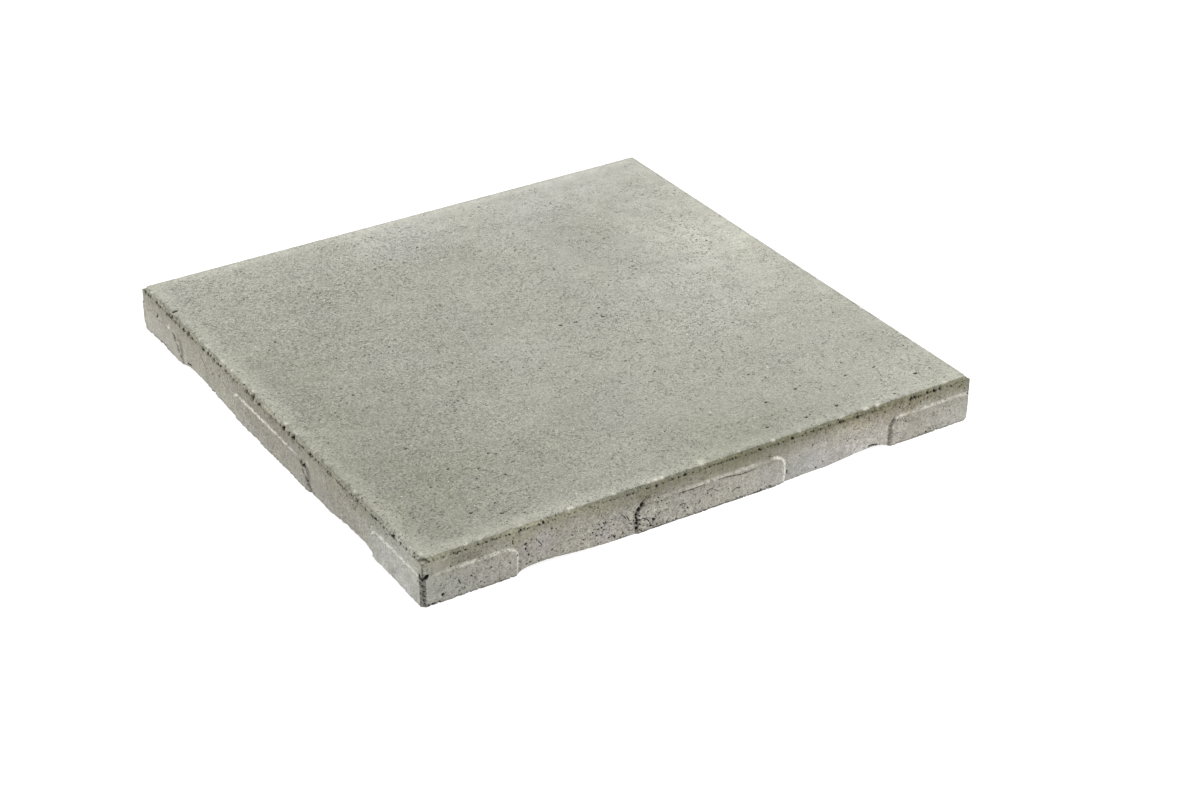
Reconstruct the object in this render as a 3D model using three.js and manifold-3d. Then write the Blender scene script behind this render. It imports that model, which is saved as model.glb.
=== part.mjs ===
// A cast concrete paving slab for laying on sand or grit: a square block whose top face has a
// chamfer all round, with low spacer pads on its four sides that keep the joint open when slabs
// are laid edge to edge. Millimetres, +Z up, origin at the centre of the underside.

import * as THREE from "three";
import { mergeVertices } from "three/addons/utils/BufferGeometryUtils.js";
import Module from "manifold-3d";

const wasm = await Module();
wasm.setup();

// ---------------------------------------------------------------- driving dimensions

// The block.
const BODY_SIDE = 497; // between two opposite upright faces, without the pads
const SLAB_HEIGHT = 40;

// The top arris.
const CHAMFER_DROP = 2.8; // height of the chamfer round the top face
const CHAMFER_SET = 2.8; // how far the chamfer draws the top face in
const CORNER_NOTCH_LEG = 6.6; // of the notch that the mould's corner block leaves in the chamfer

// The spacer pads: one in the middle of each side, and one round each corner.
const PAD_PROUD = 1.5; // how far a pad stands out of its side
const PAD_HEIGHT = 26; // from the underside to the top of a pad's shoulder
const PAD_TOP_SLOPE = 1.6; // height of the sloping shoulder along a pad's top
const PAD_END_SLOPE = 2.4; // length of the sloping shoulder at a pad's free end
const PAD_CORNER_RADIUS = 10; // of a pad's upper corners
const MIDDLE_PAD_LENGTH = 138; // at the foot of its shoulders
const CORNER_PAD_LENGTH = 79.5; // from the block's corner to the foot of the free end
const CORNER_FLAT_LEG = 3.2; // of the narrow upright flat that blunts a corner pad's corner

// The shallow arch under the bottom edge between two pads. It is lopsided: it starts level at
// the middle pad, climbs towards the corner pad and drops back just before it.
const ARCH_RISE = 4.4; // height of the crest over the underside
const ARCH_TOE_HOLD = 53; // from the middle pad's end, how far the climb is held level
const ARCH_CREST_HOLD = 25; // from the crest back, how far the climb is held at its height
const ARCH_CREST = 17; // from the corner pad's free end to the crest
const ARCH_HEEL = 6; // from the corner pad's free end to the corner that the drop rounds off
const ARCH_REACH = 14; // from the upright face to where the arch runs out under the slab

// Curves.
const PAD_ARC_SEGMENTS = 10; // in a pad's rounded corner
const ARCH_SEGMENTS = 12; // in each of an arch's two curves

const OVERREACH = 2; // how far a cutter runs past the faces that it opens

const BODY_HALF = BODY_SIDE / 2;
const PAD_HALF = BODY_HALF + PAD_PROUD; // from the middle of the slab to a pad's outer face
const SIDES = 4;

// ---------------------------------------------------------------- geometry helpers

// A drawing on the front side, (along, up), is extruded out of that side.
const OUT_OF_FRONT = new THREE.Matrix4().makeBasis(
  new THREE.Vector3(1, 0, 0),
  new THREE.Vector3(0, 0, 1),
  new THREE.Vector3(0, -1, 0),
);

// A section across the front side, (out, up), is extruded along that side.
const ALONG_FRONT = new THREE.Matrix4().makeBasis(
  new THREE.Vector3(0, -1, 0),
  new THREE.Vector3(0, 0, 1),
  new THREE.Vector3(-1, 0, 0),
);

// A closed geometry as a solid that can be joined and cut.
function solid(geometry) {
  const bare = geometry.clone();
  bare.deleteAttribute("normal");
  bare.deleteAttribute("uv");
  const merged = mergeVertices(bare, 1e-4);
  return new wasm.Manifold(
    new wasm.Mesh({
      numProp: 3,
      vertProperties: merged.attributes.position.array,
      triVerts: new Uint32Array(merged.index.array),
    }),
  );
}

// A solid back as a geometry with flat faces.
function flatFaced(body) {
  const mesh = body.getMesh();
  const geometry = new THREE.BufferGeometry();
  geometry.setAttribute("position", new THREE.BufferAttribute(mesh.vertProperties, 3));
  geometry.setIndex(new THREE.BufferAttribute(mesh.triVerts, 1));
  const faceted = geometry.toNonIndexed();
  faceted.computeVertexNormals();
  return faceted;
}

// A straight extrusion in equal steps, centred on its own drawing plane.
function extruded(outline, depth, steps = 1, curveSegments = 1) {
  const geometry = new THREE.ExtrudeGeometry(outline, {
    depth,
    steps,
    curveSegments,
    bevelEnabled: false,
  });
  return geometry.translate(0, 0, -depth / 2);
}

// Moves each vertex of a geometry to where place() puts it.
function reshaped(geometry, place) {
  const position = geometry.getAttribute("position");
  const point = new THREE.Vector3();
  for (let i = 0; i < position.count; i++) {
    place(point.fromBufferAttribute(position, i));
    position.setXYZ(i, point.x, point.y, point.z);
  }
  return geometry;
}

// A closed outline through a list of corners.
function polygon(...corners) {
  return new THREE.Shape(corners.map(([x, y]) => new THREE.Vector2(x, y)));
}

// The same piece on each of the four sides, or at each of the four corners.
function onEverySide(geometry) {
  return Array.from({ length: SIDES }, (_, side) =>
    solid(geometry.clone().rotateZ((side * 2 * Math.PI) / SIDES)),
  );
}

// ---------------------------------------------------------------- the block and its top arris

function block() {
  const box = new THREE.BoxGeometry(BODY_SIDE, BODY_SIDE, SLAB_HEIGHT);
  return solid(box.translate(0, 0, SLAB_HEIGHT / 2));
}

// What the chamfer takes off the front side's top arris: a triangle whose slope is carried on
// past both faces, so that it cuts clean.
function chamferCutter() {
  const overSet = OVERREACH;
  const overDrop = (OVERREACH * CHAMFER_DROP) / CHAMFER_SET;
  const section = polygon(
    [overSet, -CHAMFER_DROP - overDrop],
    [overSet, overDrop],
    [-CHAMFER_SET - overSet, overDrop],
  );
  return extruded(section, BODY_SIDE + 2 * OVERREACH)
    .applyMatrix4(ALONG_FRONT)
    .translate(0, -BODY_HALF, SLAB_HEIGHT);
}

// An upright cut across the front left corner of a square that reaches from the slab's middle
// to reach on each side. It takes leg off each of the two sides, between two heights.
function cornerCutter(reach, leg, bottom, top) {
  const outer = -reach - OVERREACH;
  const inner = -reach + leg + OVERREACH;
  const triangle = polygon([outer, outer], [inner, outer], [outer, inner]);
  return extruded(triangle, top - bottom).translate(0, 0, (bottom + top) / 2);
}

// ---------------------------------------------------------------- spacer pads

// A pad's foot on its side. A free end is upright and has its upper corner rounded; an end that
// isn't free runs square to the slab's corner.
function padOutline(start, end, startIsFree, endIsFree) {
  const radius = PAD_CORNER_RADIUS;
  const shoulder = PAD_HEIGHT - radius;
  const outline = new THREE.Shape();
  outline.moveTo(start, 0);
  outline.lineTo(end, 0);
  if (endIsFree) outline.absarc(end - radius, shoulder, radius, 0, Math.PI / 2);
  else outline.lineTo(end, PAD_HEIGHT);
  if (startIsFree) outline.absarc(start + radius, shoulder, radius, Math.PI / 2, Math.PI);
  else outline.lineTo(start, PAD_HEIGHT);
  outline.closePath();
  return outline;
}

// A pad on the front side. It is extruded in two steps of equal depth: the first is buried in
// the block, and over the second the outline draws in to the pad's face, which makes the
// sloping shoulders.
function pad(start, end, startIsFree, endIsFree) {
  const faceStart = start + (startIsFree ? PAD_END_SLOPE : 0);
  const faceEnd = end - (endIsFree ? PAD_END_SLOPE : 0);
  const faceShare = (faceEnd - faceStart) / (end - start);
  const heightShare = (PAD_HEIGHT - PAD_TOP_SLOPE) / PAD_HEIGHT;
  const outline = padOutline(start, end, startIsFree, endIsFree);
  const geometry = extruded(outline, 2 * PAD_PROUD, 2, PAD_ARC_SEGMENTS);
  reshaped(geometry, (point) => {
    if (point.z < PAD_PROUD / 2) return;
    point.x = faceStart + (point.x - start) * faceShare;
    point.y *= heightShare;
  });
  return geometry.applyMatrix4(OUT_OF_FRONT).translate(0, -BODY_HALF, 0);
}

function middlePad() {
  return pad(-MIDDLE_PAD_LENGTH / 2, MIDDLE_PAD_LENGTH / 2, true, true);
}

// The corner pads, as far as they lie on the front side: the rest of each wraps round the
// corner and is the end of the next side's.
function leftCornerPad() {
  return pad(-PAD_HALF, -BODY_HALF + CORNER_PAD_LENGTH, false, true);
}

function rightCornerPad() {
  return pad(BODY_HALF - CORNER_PAD_LENGTH, PAD_HALF, true, false);
}

// ---------------------------------------------------------------- arches under the gaps

// The arch in the gap at one hand of the front side's middle pad: -1 left, 1 right. Outside
// the upright face it keeps its section, and inside it sinks to nothing over the reach.
function archCutter(hand) {
  const start = MIDDLE_PAD_LENGTH / 2;
  const end = BODY_HALF - CORNER_PAD_LENGTH;
  const crest = end - ARCH_CREST;
  const along = (place) => hand * place;

  const outline = new THREE.Shape();
  outline.moveTo(along(start), 0);
  outline.bezierCurveTo(
    along(start + ARCH_TOE_HOLD),
    0,
    along(crest - ARCH_CREST_HOLD),
    ARCH_RISE,
    along(crest),
    ARCH_RISE,
  );
  outline.quadraticCurveTo(along(end - ARCH_HEEL), ARCH_RISE, along(end), 0);
  outline.lineTo(along(end), -OVERREACH);
  outline.lineTo(along(start), -OVERREACH);
  outline.closePath();

  const geometry = extruded(outline, 2 * ARCH_REACH, 2, ARCH_SEGMENTS);
  reshaped(geometry, (point) => {
    if (point.z < -ARCH_REACH / 2) point.y = Math.min(point.y, 0);
  });
  return geometry.applyMatrix4(OUT_OF_FRONT).translate(0, -BODY_HALF, 0);
}

// ---------------------------------------------------------------- the slab

function castSlab() {
  const pads = [leftCornerPad(), middlePad(), rightCornerPad()].flatMap(onEverySide);
  const cutters = [
    chamferCutter(),
    cornerCutter(BODY_HALF, CORNER_NOTCH_LEG, SLAB_HEIGHT - CHAMFER_DROP, SLAB_HEIGHT + OVERREACH),
    cornerCutter(PAD_HALF, CORNER_FLAT_LEG, -OVERREACH, PAD_HEIGHT),
    archCutter(-1),
    archCutter(1),
  ].flatMap(onEverySide);

  const padded = pads.reduce((whole, piece) => whole.add(piece), block());
  return cutters.reduce((whole, cutter) => whole.subtract(cutter), padded);
}

const concrete = new THREE.MeshStandardMaterial({
  name: "concrete",
  color: 0xafaea2,
  roughness: 0.95,
  metalness: 0,
});

const slab = new THREE.Mesh(flatFaced(castSlab()), concrete);
slab.name = "slab";

const pavingSlab = new THREE.Group();
pavingSlab.add(slab);

export default pavingSlab;
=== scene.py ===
"""A cast concrete paving slab with spacer pads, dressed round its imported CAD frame."""

import logging
import math
import random
from collections.abc import Iterator
from dataclasses import dataclass, field
from enum import Enum
from typing import ClassVar, NamedTuple

import bmesh
import bpy
import numpy as np
from mathutils import Matrix, Vector, kdtree, noise


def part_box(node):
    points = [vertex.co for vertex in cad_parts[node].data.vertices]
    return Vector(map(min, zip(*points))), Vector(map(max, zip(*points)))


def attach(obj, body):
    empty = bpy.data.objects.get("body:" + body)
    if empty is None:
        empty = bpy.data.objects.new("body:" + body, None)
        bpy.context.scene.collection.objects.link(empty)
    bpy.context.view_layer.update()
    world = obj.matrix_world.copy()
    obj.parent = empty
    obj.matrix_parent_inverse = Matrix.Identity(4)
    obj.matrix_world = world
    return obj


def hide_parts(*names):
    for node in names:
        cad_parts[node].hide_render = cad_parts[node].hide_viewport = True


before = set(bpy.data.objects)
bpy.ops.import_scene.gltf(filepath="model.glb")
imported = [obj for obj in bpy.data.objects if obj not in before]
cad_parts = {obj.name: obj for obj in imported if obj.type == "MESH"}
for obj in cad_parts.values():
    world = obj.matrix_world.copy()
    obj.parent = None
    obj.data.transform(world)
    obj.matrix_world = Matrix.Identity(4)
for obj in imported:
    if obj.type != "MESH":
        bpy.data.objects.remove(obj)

LOG = logging.getLogger("paving_slab")
MM = 0.001  # one millimetre in the scene's metres
CAD_NODE = "slab"
CAD_BODY = "root"

Colour = tuple[float, float, float, float]
Node = bpy.types.Node
Socket = bpy.types.NodeSocket
Table = tuple[tuple[float, ...], ...]

WHITE: Colour = (1, 1, 1, 1)
SEED = 4107  # of the random draws
NEAR = 0.1 * MM  # a point that lies nearer to a face than this is on it
NOISE_SPAN = (0.3, 0.7)  # values between which most of a shader's noise lies


def bearing(azimuth: float, elevation: float) -> Vector:
    """Gives the direction out from the slab to something round it.

    Args:
        azimuth: Direction round the slab, in degrees, with 0 in front and plus to the right.
        elevation: Height over the horizon, in degrees.

    Returns:
        A unit vector.
    """
    turn, rise = math.radians(azimuth), math.radians(elevation)
    return Vector((math.sin(turn) * math.cos(rise), -math.cos(turn) * math.cos(rise), math.sin(rise)))


def held(value: float) -> float:
    """Holds a value between 0 and 1."""
    return min(1.0, max(0.0, value))


def nearness(gap: float, reach: float) -> float:
    """Gives 1 where there is no gap, and less with the gap down to 0 at a reach."""
    return max(0.0, 1 - gap / reach)


def read_off(table: Table, place: float) -> float:
    """Reads a value off a table, straight between its rows.

    Args:
        table: Places in millimetres, rising, each with its value.
        place: The place to read at.

    Returns:
        The value there.
    """
    places, values = zip(*table)
    return float(np.interp(place / MM, places, values))


def tree_of(points: list[Vector]) -> kdtree.KDTree:
    """Sorts points, so that the nearest to a place are found fast.

    Args:
        points: The points.

    Returns:
        The tree, which gives a point by its number in the list.
    """
    tree = kdtree.KDTree(len(points))
    for number, point in enumerate(points):
        tree.insert(point, number)
    tree.balance()
    return tree


def mesh_of(name: str, shape: bmesh.types.BMesh, finish: bpy.types.Material) -> bpy.types.Mesh:
    """Turns a worked shape into a mesh with one finish, and frees the shape.

    Args:
        name: Name of the mesh.
        shape: The shape.
        finish: Its material.

    Returns:
        The mesh.
    """
    mesh = bpy.data.meshes.new(name)
    shape.to_mesh(mesh)
    shape.free()
    mesh.materials.append(finish)
    return mesh


def set_out(name: str, data: bpy.types.ID) -> bpy.types.Object:
    """Makes an object of a mesh, a lamp or a camera and puts it in the scene.

    Args:
        name: Name of the object.
        data: What it is made of.

    Returns:
        The object.
    """
    made = bpy.data.objects.new(name, data)
    bpy.context.scene.collection.objects.link(made)
    return made


class Ripple(Enum):
    """A noise along the sides: its waves' length, how far apart in it two sides lie, and its slice."""

    VOID_CROWDS = (26 * MM, 7.3, 0)
    RIM_CHIPS = (5 * MM, 3.3, 0.5)
    BLOTCHES = (34 * MM, 5.1, 0)
    FOOT_CRUMBS = (3 * MM, 0, 7.7)
    RUB_STRAY = (5 * MM, 3.3, 1.1)
    RUB_CRUMBS = (2.5 * MM, 1.7, 0.3)
    # noise of the painted shadow under the pads' top shoulders
    SMEARS = (11 * MM, 1, 2.5)


class Side(Enum):
    """An upright side of the slab, by the quarter turns that carry the front side onto it."""

    FRONT = 0
    RIGHT = 1
    BACK = 2
    LEFT = 3

    @property
    def torn_hand(self) -> int:
        """Hand of the pad ends that tore as the slab left its mould, and that turn away from the lights and
        get painted shade: -1 left, 1 right.
        """
        return -1 if self in (Side.FRONT, Side.RIGHT) else 1

    def turn(self) -> Matrix:
        """Gives the rotation that carries the front side onto this one."""
        return Matrix.Rotation(self.value * math.pi / 2, 3, "Z")

    def place(self, along: float, out: float, up: float) -> Vector:
        """Gives the place of a point of this side in the slab's frame.

        Args:
            along: Place along the side, from its middle to the right as seen from outside.
            out: Distance out from the slab's centre line, square to the side.
            up: Height over the underside.

        Returns:
            The point in the slab's frame.
        """
        return self.turn() @ Vector((along, -out, up))

    def ripple(self, kind: Ripple, along: float, beside: float = 0.0) -> float:
        """Reads a noise that runs along this side.

        Args:
            kind: Which noise.
            along: Place along the side.
            beside: How far from the noise's own slice it is read.

        Returns:
            A value from -1 to 1.
        """
        length, apart, own_slice = kind.value
        return noise.noise(Vector((along / length, self.value * apart, own_slice + beside)))


class Spot(NamedTuple):
    """A point of the casting, read on the side that it lies on or nearest to.

    Attributes:
        side: The side.
        along: Place along the side, from its middle to the right as seen from outside.
        out: Distance out from the slab's centre line, square to the side.
        up: Height over the underside.
    """

    side: Side
    along: float
    out: float
    up: float

    @classmethod
    def of(cls, point: Vector) -> "Spot":
        """Reads a point.

        Args:
            point: The point in the slab's frame.

        Returns:
            What it reads.
        """
        if abs(point.x) > abs(point.y):
            side = Side.RIGHT if point.x > 0 else Side.LEFT
        else:
            side = Side.BACK if point.y > 0 else Side.FRONT
        local = side.turn().transposed() @ point
        return cls(side, local.x, -local.y, local.z)


Marks = dict[Side, Table]


def tables(kind: type[Enum], **rows: tuple) -> dict[Enum, tuple]:
    """Declares a dataclass field that holds a table or a row for each member of an Enum.

    Args:
        kind: The Enum.
        rows: The tables, by the members' names in small letters.

    Returns:
        The field.
    """
    return field(default_factory=lambda: {kind[name.upper()]: table for name, table in rows.items()})


class Arris(Enum):
    """A kind of edge of the casting: the depth and the reach of its wear, and the cells it needs."""

    FOOT = (1.0 * MM, 0.6 * MM, 0.8 * MM)
    CHAMFER = (0.4 * MM, 1.0 * MM, 0.85 * MM)
    TOP = (0.25 * MM, 0.8 * MM, 1.2 * MM)
    PAD = (0.15 * MM, 0.6 * MM, 0.65 * MM)

    @property
    def depth(self) -> float:
        """Deepest wear of the edge; for the foot, the unit of its wear."""
        return self.value[0]

    @property
    def width(self) -> float:
        """Reach of the wear to each side of the edge; for the foot, its least reach."""
        return self.value[1]

    @property
    def cell(self) -> float:
        """Size of the mesh's cells on the edge."""
        return self.value[2]


@dataclass(frozen=True)
class CastingShape:
    """Sizes of the casting that its marks and its wear go by.

    Attributes:
        half: From the slab's centre line to an upright side, without the pads.
        proud: How far a pad stands out of its side.
        height: Thickness of the slab.
        chamfer: Height and width of the chamfer.
        notch_leg: What the notch in the chamfer takes off each side at a corner.
        pad_height: Height of a pad.
        pad_round: Radius of a pad's upper corners.
        top_slope: Height of the sloping shoulder along a pad's top.
        end_slope: Length of the sloping shoulder at a pad's free end.
        middle_pad_end: From the middle of a side to the foot of the middle pad's end.
        corner_pad_end: From the middle of a side to the foot of a corner pad's free end.
        flat_leg: What the upright flat takes off each pad at a corner.
        foot_zone: Height under which an edge belongs to the foot or an arch.
        chamfer_zone: Height over which it belongs to the chamfer.
        top_zone: Height over which it belongs to the top face.
    """

    half: float = 248.5 * MM
    proud: float = 1.5 * MM
    height: float = 40 * MM
    chamfer: float = 2.8 * MM
    notch_leg: float = 6.6 * MM
    pad_height: float = 26 * MM
    pad_round: float = 10 * MM
    top_slope: float = 1.6 * MM
    end_slope: float = 2.4 * MM
    middle_pad_end: float = 69 * MM
    corner_pad_end: float = 169 * MM
    flat_leg: float = 3.2 * MM
    foot_zone: float = 7 * MM
    chamfer_zone: float = 35 * MM
    top_zone: float = 39 * MM

    @property
    def chamfer_foot(self) -> float:
        """Height of the chamfer's lower arris."""
        return self.height - self.chamfer

    def in_gap(self, along: float) -> bool:
        """Tells whether a place along a side lies between two pads."""
        return self.middle_pad_end < abs(along) < self.corner_pad_end

    def kind(self, point: Vector) -> Arris:
        """Tells which kind of arris a point of an edge lies on.

        Args:
            point: The point.

        Returns:
            The kind.
        """
        if point.z < self.foot_zone:
            return Arris.FOOT
        if point.z > self.top_zone:
            return Arris.TOP
        return Arris.CHAMFER if point.z > self.chamfer_zone else Arris.PAD

    def shoulder(self, along: float, up: float) -> tuple[float, float]:
        """Places a point of a side by the sloping shoulder of the nearest pad.

        Args:
            along: Place along the side.
            up: Height over the underside.

        Returns:
            The distance outward from the shoulder's middle line, less than 0 on the pad, and how far
            round the pad's upper corner the point lies, from 0 at the free end to 1 on top.
        """
        if abs(along) < (self.middle_pad_end + self.corner_pad_end) / 2:
            beyond = abs(along) - self.middle_pad_end + self.end_slope / 2
        else:
            beyond = self.corner_pad_end + self.end_slope / 2 - abs(along)
        above = up - self.pad_height + self.top_slope / 2
        aside, over = beyond + self.pad_round, above + self.pad_round
        if aside > 0 and over > 0:
            return math.hypot(aside, over) - self.pad_round, math.atan2(over, aside) / (math.pi / 2)
        return max(beyond, above), 0.0 if beyond > above else 1.0

    def surface(self, along: float, up: float) -> float:
        """Gives how far out the face lies at a place on a side.

        Args:
            along: Place along the side.
            up: Height over the underside.

        Returns:
            The distance out from the slab's centre line.
        """
        gap, _ = self.shoulder(along, up)
        on_pad = held(0.5 - gap / self.top_slope)
        return self.half + self.proud * on_pad - max(0.0, up - self.chamfer_foot)


@dataclass(frozen=True)
class Void:
    """An air void that opens on the surface.

    Attributes:
        centre: Middle of its mouth.
        inward: Unit direction into the concrete.
        radius: Radius of its mouth.
        depth: How deep it goes.
    """

    centre: Vector
    inward: Vector
    radius: float
    depth: float


@dataclass(frozen=True)
class Cut:
    """How a void goes into an upright side.

    Attributes:
        slant: How far it climbs for each step inward.
        depth: How deep it goes, in radii.
    """

    slant: float
    depth: float

    def pit(self, side: Side, place: Vector, radius: float) -> Void:
        """Makes a void.

        Args:
            side: The side that it goes into.
            place: Middle of its mouth.
            radius: Radius of its mouth.

        Returns:
            The void.
        """
        inward = side.turn() @ Vector((0, 1, self.slant)).normalized()
        return Void(place, inward, radius, self.depth * radius)


@dataclass
class VoidPlan:
    """Where the air voids and cracks are that are large enough to be modelled.

    The tables are in millimetres. Four values in a row are for the front, right, back and left. A
    run of radii is the least, the greatest and how rare the great ones are.

    Attributes:
        shape: Sizes of the casting.
        chamfer_gaps: Mean gap between the small voids along each side's chamfer.
        chamfer_lifts: Mean height of each side's chamfer voids over the arris.
        chamfer_sizes: Two factors for the radii of each side's large chamfer voids.
        second_before: Place along a side before which the second of them is taken.
        second_over: Radius over which it is taken as well.
        chamfer_marks: Large voids on the chamfer's lower arris: place along and radius.
        side_marks: Large voids on the sides: place along, height and radius.
        seams: Voids that run together on the sides: their radius, and places along and up in turn.
        side_crowds: Crowds of small voids on the sides: middle along and up, spread along and up, and
            how many.
        strewn: The crowd of small voids that is strewn all over each side, in the same way.
        top_marks: Large voids on the top face: two places and radius.
        top_strewn: How many small voids are strewn over the top face.
        top_margin: Width of the rim that the top's small voids keep clear of.
        corner_marks: Voids round the near corner's flat: place round it, height and radius.
        missing: Share of those that each of the other corners lacks.
        foot_radii: Run of radii of the nicks in the bottom edge.
        side_radii: Run of radii of the small voids on the sides.
        top_radii: Run of radii of the small voids on the top face.
        draws: Source of the random draws.
    """

    CHAMFER: ClassVar[Cut] = Cut(-0.4, 1.9)
    SMALL_CHAMFER: ClassVar[Cut] = Cut(-0.4, 1.7)
    FOOT: ClassVar[Cut] = Cut(0.8, 0.9)
    FACE: ClassVar[Cut] = Cut(0, 1.5)

    shape: CastingShape = field(default_factory=CastingShape)
    chamfer_gaps: tuple[float, ...] = (5.5, 4.6, 5.0, 4.2)
    chamfer_lifts: tuple[float, ...] = (-0.1, -0.6, -0.6, -0.6)
    chamfer_sizes: Table = ((1, 0.72), (1, 1), (1, 1), (0.92, 1.15))
    second_before: float = -85
    second_over: float = 1.6
    chamfer_marks: Marks = tables(
        Side,
        front=(
            (-238.4, 0.9), (-230.3, 1.0), (-222.1, 1.1), (-218.1, 1.0), (-211.9, 0.9), (-195, 1.2),
            (-190, 1.0), (-186.8, 1.0), (-176, 1.1), (-168.5, 1.0), (-166.8, 1.4), (-163.5, 1.0),
            (-151.7, 1.0), (-147.5, 1.8), (-90.4, 1.2), (-23.7, 1.3), (-6, 0.8), (-2, 0.8), (2, 0.8),
            (5.5, 0.8), (9, 0.8), (16, 0.8), (19, 0.8), (22, 0.8), (43.9, 1.2), (74.8, 1.3), (94.6, 1.0),
            (101.3, 0.9), (120.5, 1.4), (123.4, 1.0), (136.9, 1.2), (190, 1.3), (193, 1.2), (206, 1.2),
            (213.1, 1.5), (218.1, 1.2),
        ),
        right=((-171, 1.5), (-60, 1.3), (-56, 1.0), (2, 1.1), (96, 1.6), (101, 1.1), (214, 1.3)),
        back=((-204, 1.3), (-131, 1.5), (-70, 1.0), (18, 1.6), (23, 1.1), (92, 1.2), (167, 1.3)),
        left=(
            (-241.8, 1.5), (-236.5, 1.1), (-231.3, 1.4), (-218.6, 1.5), (-210.5, 1.2), (-196.5, 1.4),
            (-192.4, 1.4), (-187.3, 1.7), (-179.1, 1.4), (-171, 1.2), (-162.9, 1.4), (-153.9, 1.8),
            (-146, 1.2), (-123.2, 1.5), (-114.3, 1.5), (-109.5, 1.2), (-102.8, 1.2), (-95, 1.2),
            (-90.2, 1.2), (-80.7, 1.3), (-77.8, 1.2), (-70.3, 1.0), (-64.7, 1.0), (-59.1, 1.0),
            (-41.2, 1.7), (-37.6, 1.2), (-30.2, 2.2), (-18.4, 1.7), (3.1, 1.2), (11.2, 1.4), (20, 1.2),
            (25.4, 1.9), (34.9, 1.7), (41.6, 2.0), (43.4, 1.9), (48.6, 1.4), (60.1, 1.3), (71.3, 1.8),
            (75.4, 1.3), (80.5, 1.3), (85.5, 1.2), (100.5, 1.4), (105.4, 1.6), (116, 1.0), (119, 1.1),
            (122, 0.9), (125, 1.0), (128, 1.1), (139.8, 1.2), (149.5, 1.2), (162.3, 1.1), (173.3, 1.2),
            (178, 1.4), (190.4, 1.4), (201.2, 1.2), (205.7, 1.8), (216.4, 1.2), (224.7, 1.4), (236.7, 1.4),
        ),
    )
    side_marks: Marks = tables(
        Side,
        front=(
            (-233.1, 6.1, 1.9), (-162.9, 23.8, 1.6), (-163, 19.8, 1.4), (-160.6, 14, 1.2),
            (-198.4, 36.6, 0.8), (-198.5, 34.1, 0.7), (-191.1, 32.4, 0.7), (-105.7, 13.8, 1.2),
            (-102.2, 9.9, 1.2), (-97.9, 15.5, 1.2), (-96.1, 13.1, 1.1), (-98.7, 9.6, 1.1),
            (-87.4, 14.5, 1.0), (-89.1, 19.5, 0.9), (-53, 8.2, 1.9), (-56.0, 3.7, 1.5), (-58.3, 16.8, 0.9),
            (-22.7, 8.3, 1.3), (-49.8, 35.6, 1.6), (98.3, 3.4, 1.3), (82.2, 19.1, 0.8), (189.1, 35.9, 1.6),
            (197.1, 36.1, 1.3), (-244.7, 1.3, 1.2), (-241.4, 1.4, 1.3), (-239.6, 1.5, 0.9),
            (-222.2, 1.2, 1.0), (-213.6, 0.7, 0.9), (-162.4, 6.6, 0.9), (-159.8, 7.4, 0.9),
            (-152.2, 5.6, 0.9), (12.5, 2.5, 0.9), (22.7, 1.7, 0.9), (32.1, 0.4, 0.9), (205.6, 2.1, 1.4),
            (225, 1, 0.8), (-65.8, 15.6, 1.2), (-65.7, 12, 1.1), (-65.6, 8.2, 1.1), (-65.6, 3.2, 1.1),
        ),
        right=((-206, 7, 1.3), (-100, 21, 1.2), (31, 9, 1.0), (133, 14, 1.3)),
        back=((-180, 15, 1.2), (-30, 6, 1.4), (-27.5, 7.5, 0.9), (112, 18, 1.2)),
        left=(
            (52.5, 32.6, 1.6), (-217.5, 24.4, 1.3), (-42, 17.4, 1.2), (117, 35.2, 0.8), (121, 35.6, 0.9),
            (126, 35.0, 0.8), (234.7, 38.4, 1.0), (-87.4, 22.4, 1.2), (100, 22, 0.7), (202.6, 35.6, 1.6),
        ),
    )
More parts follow.
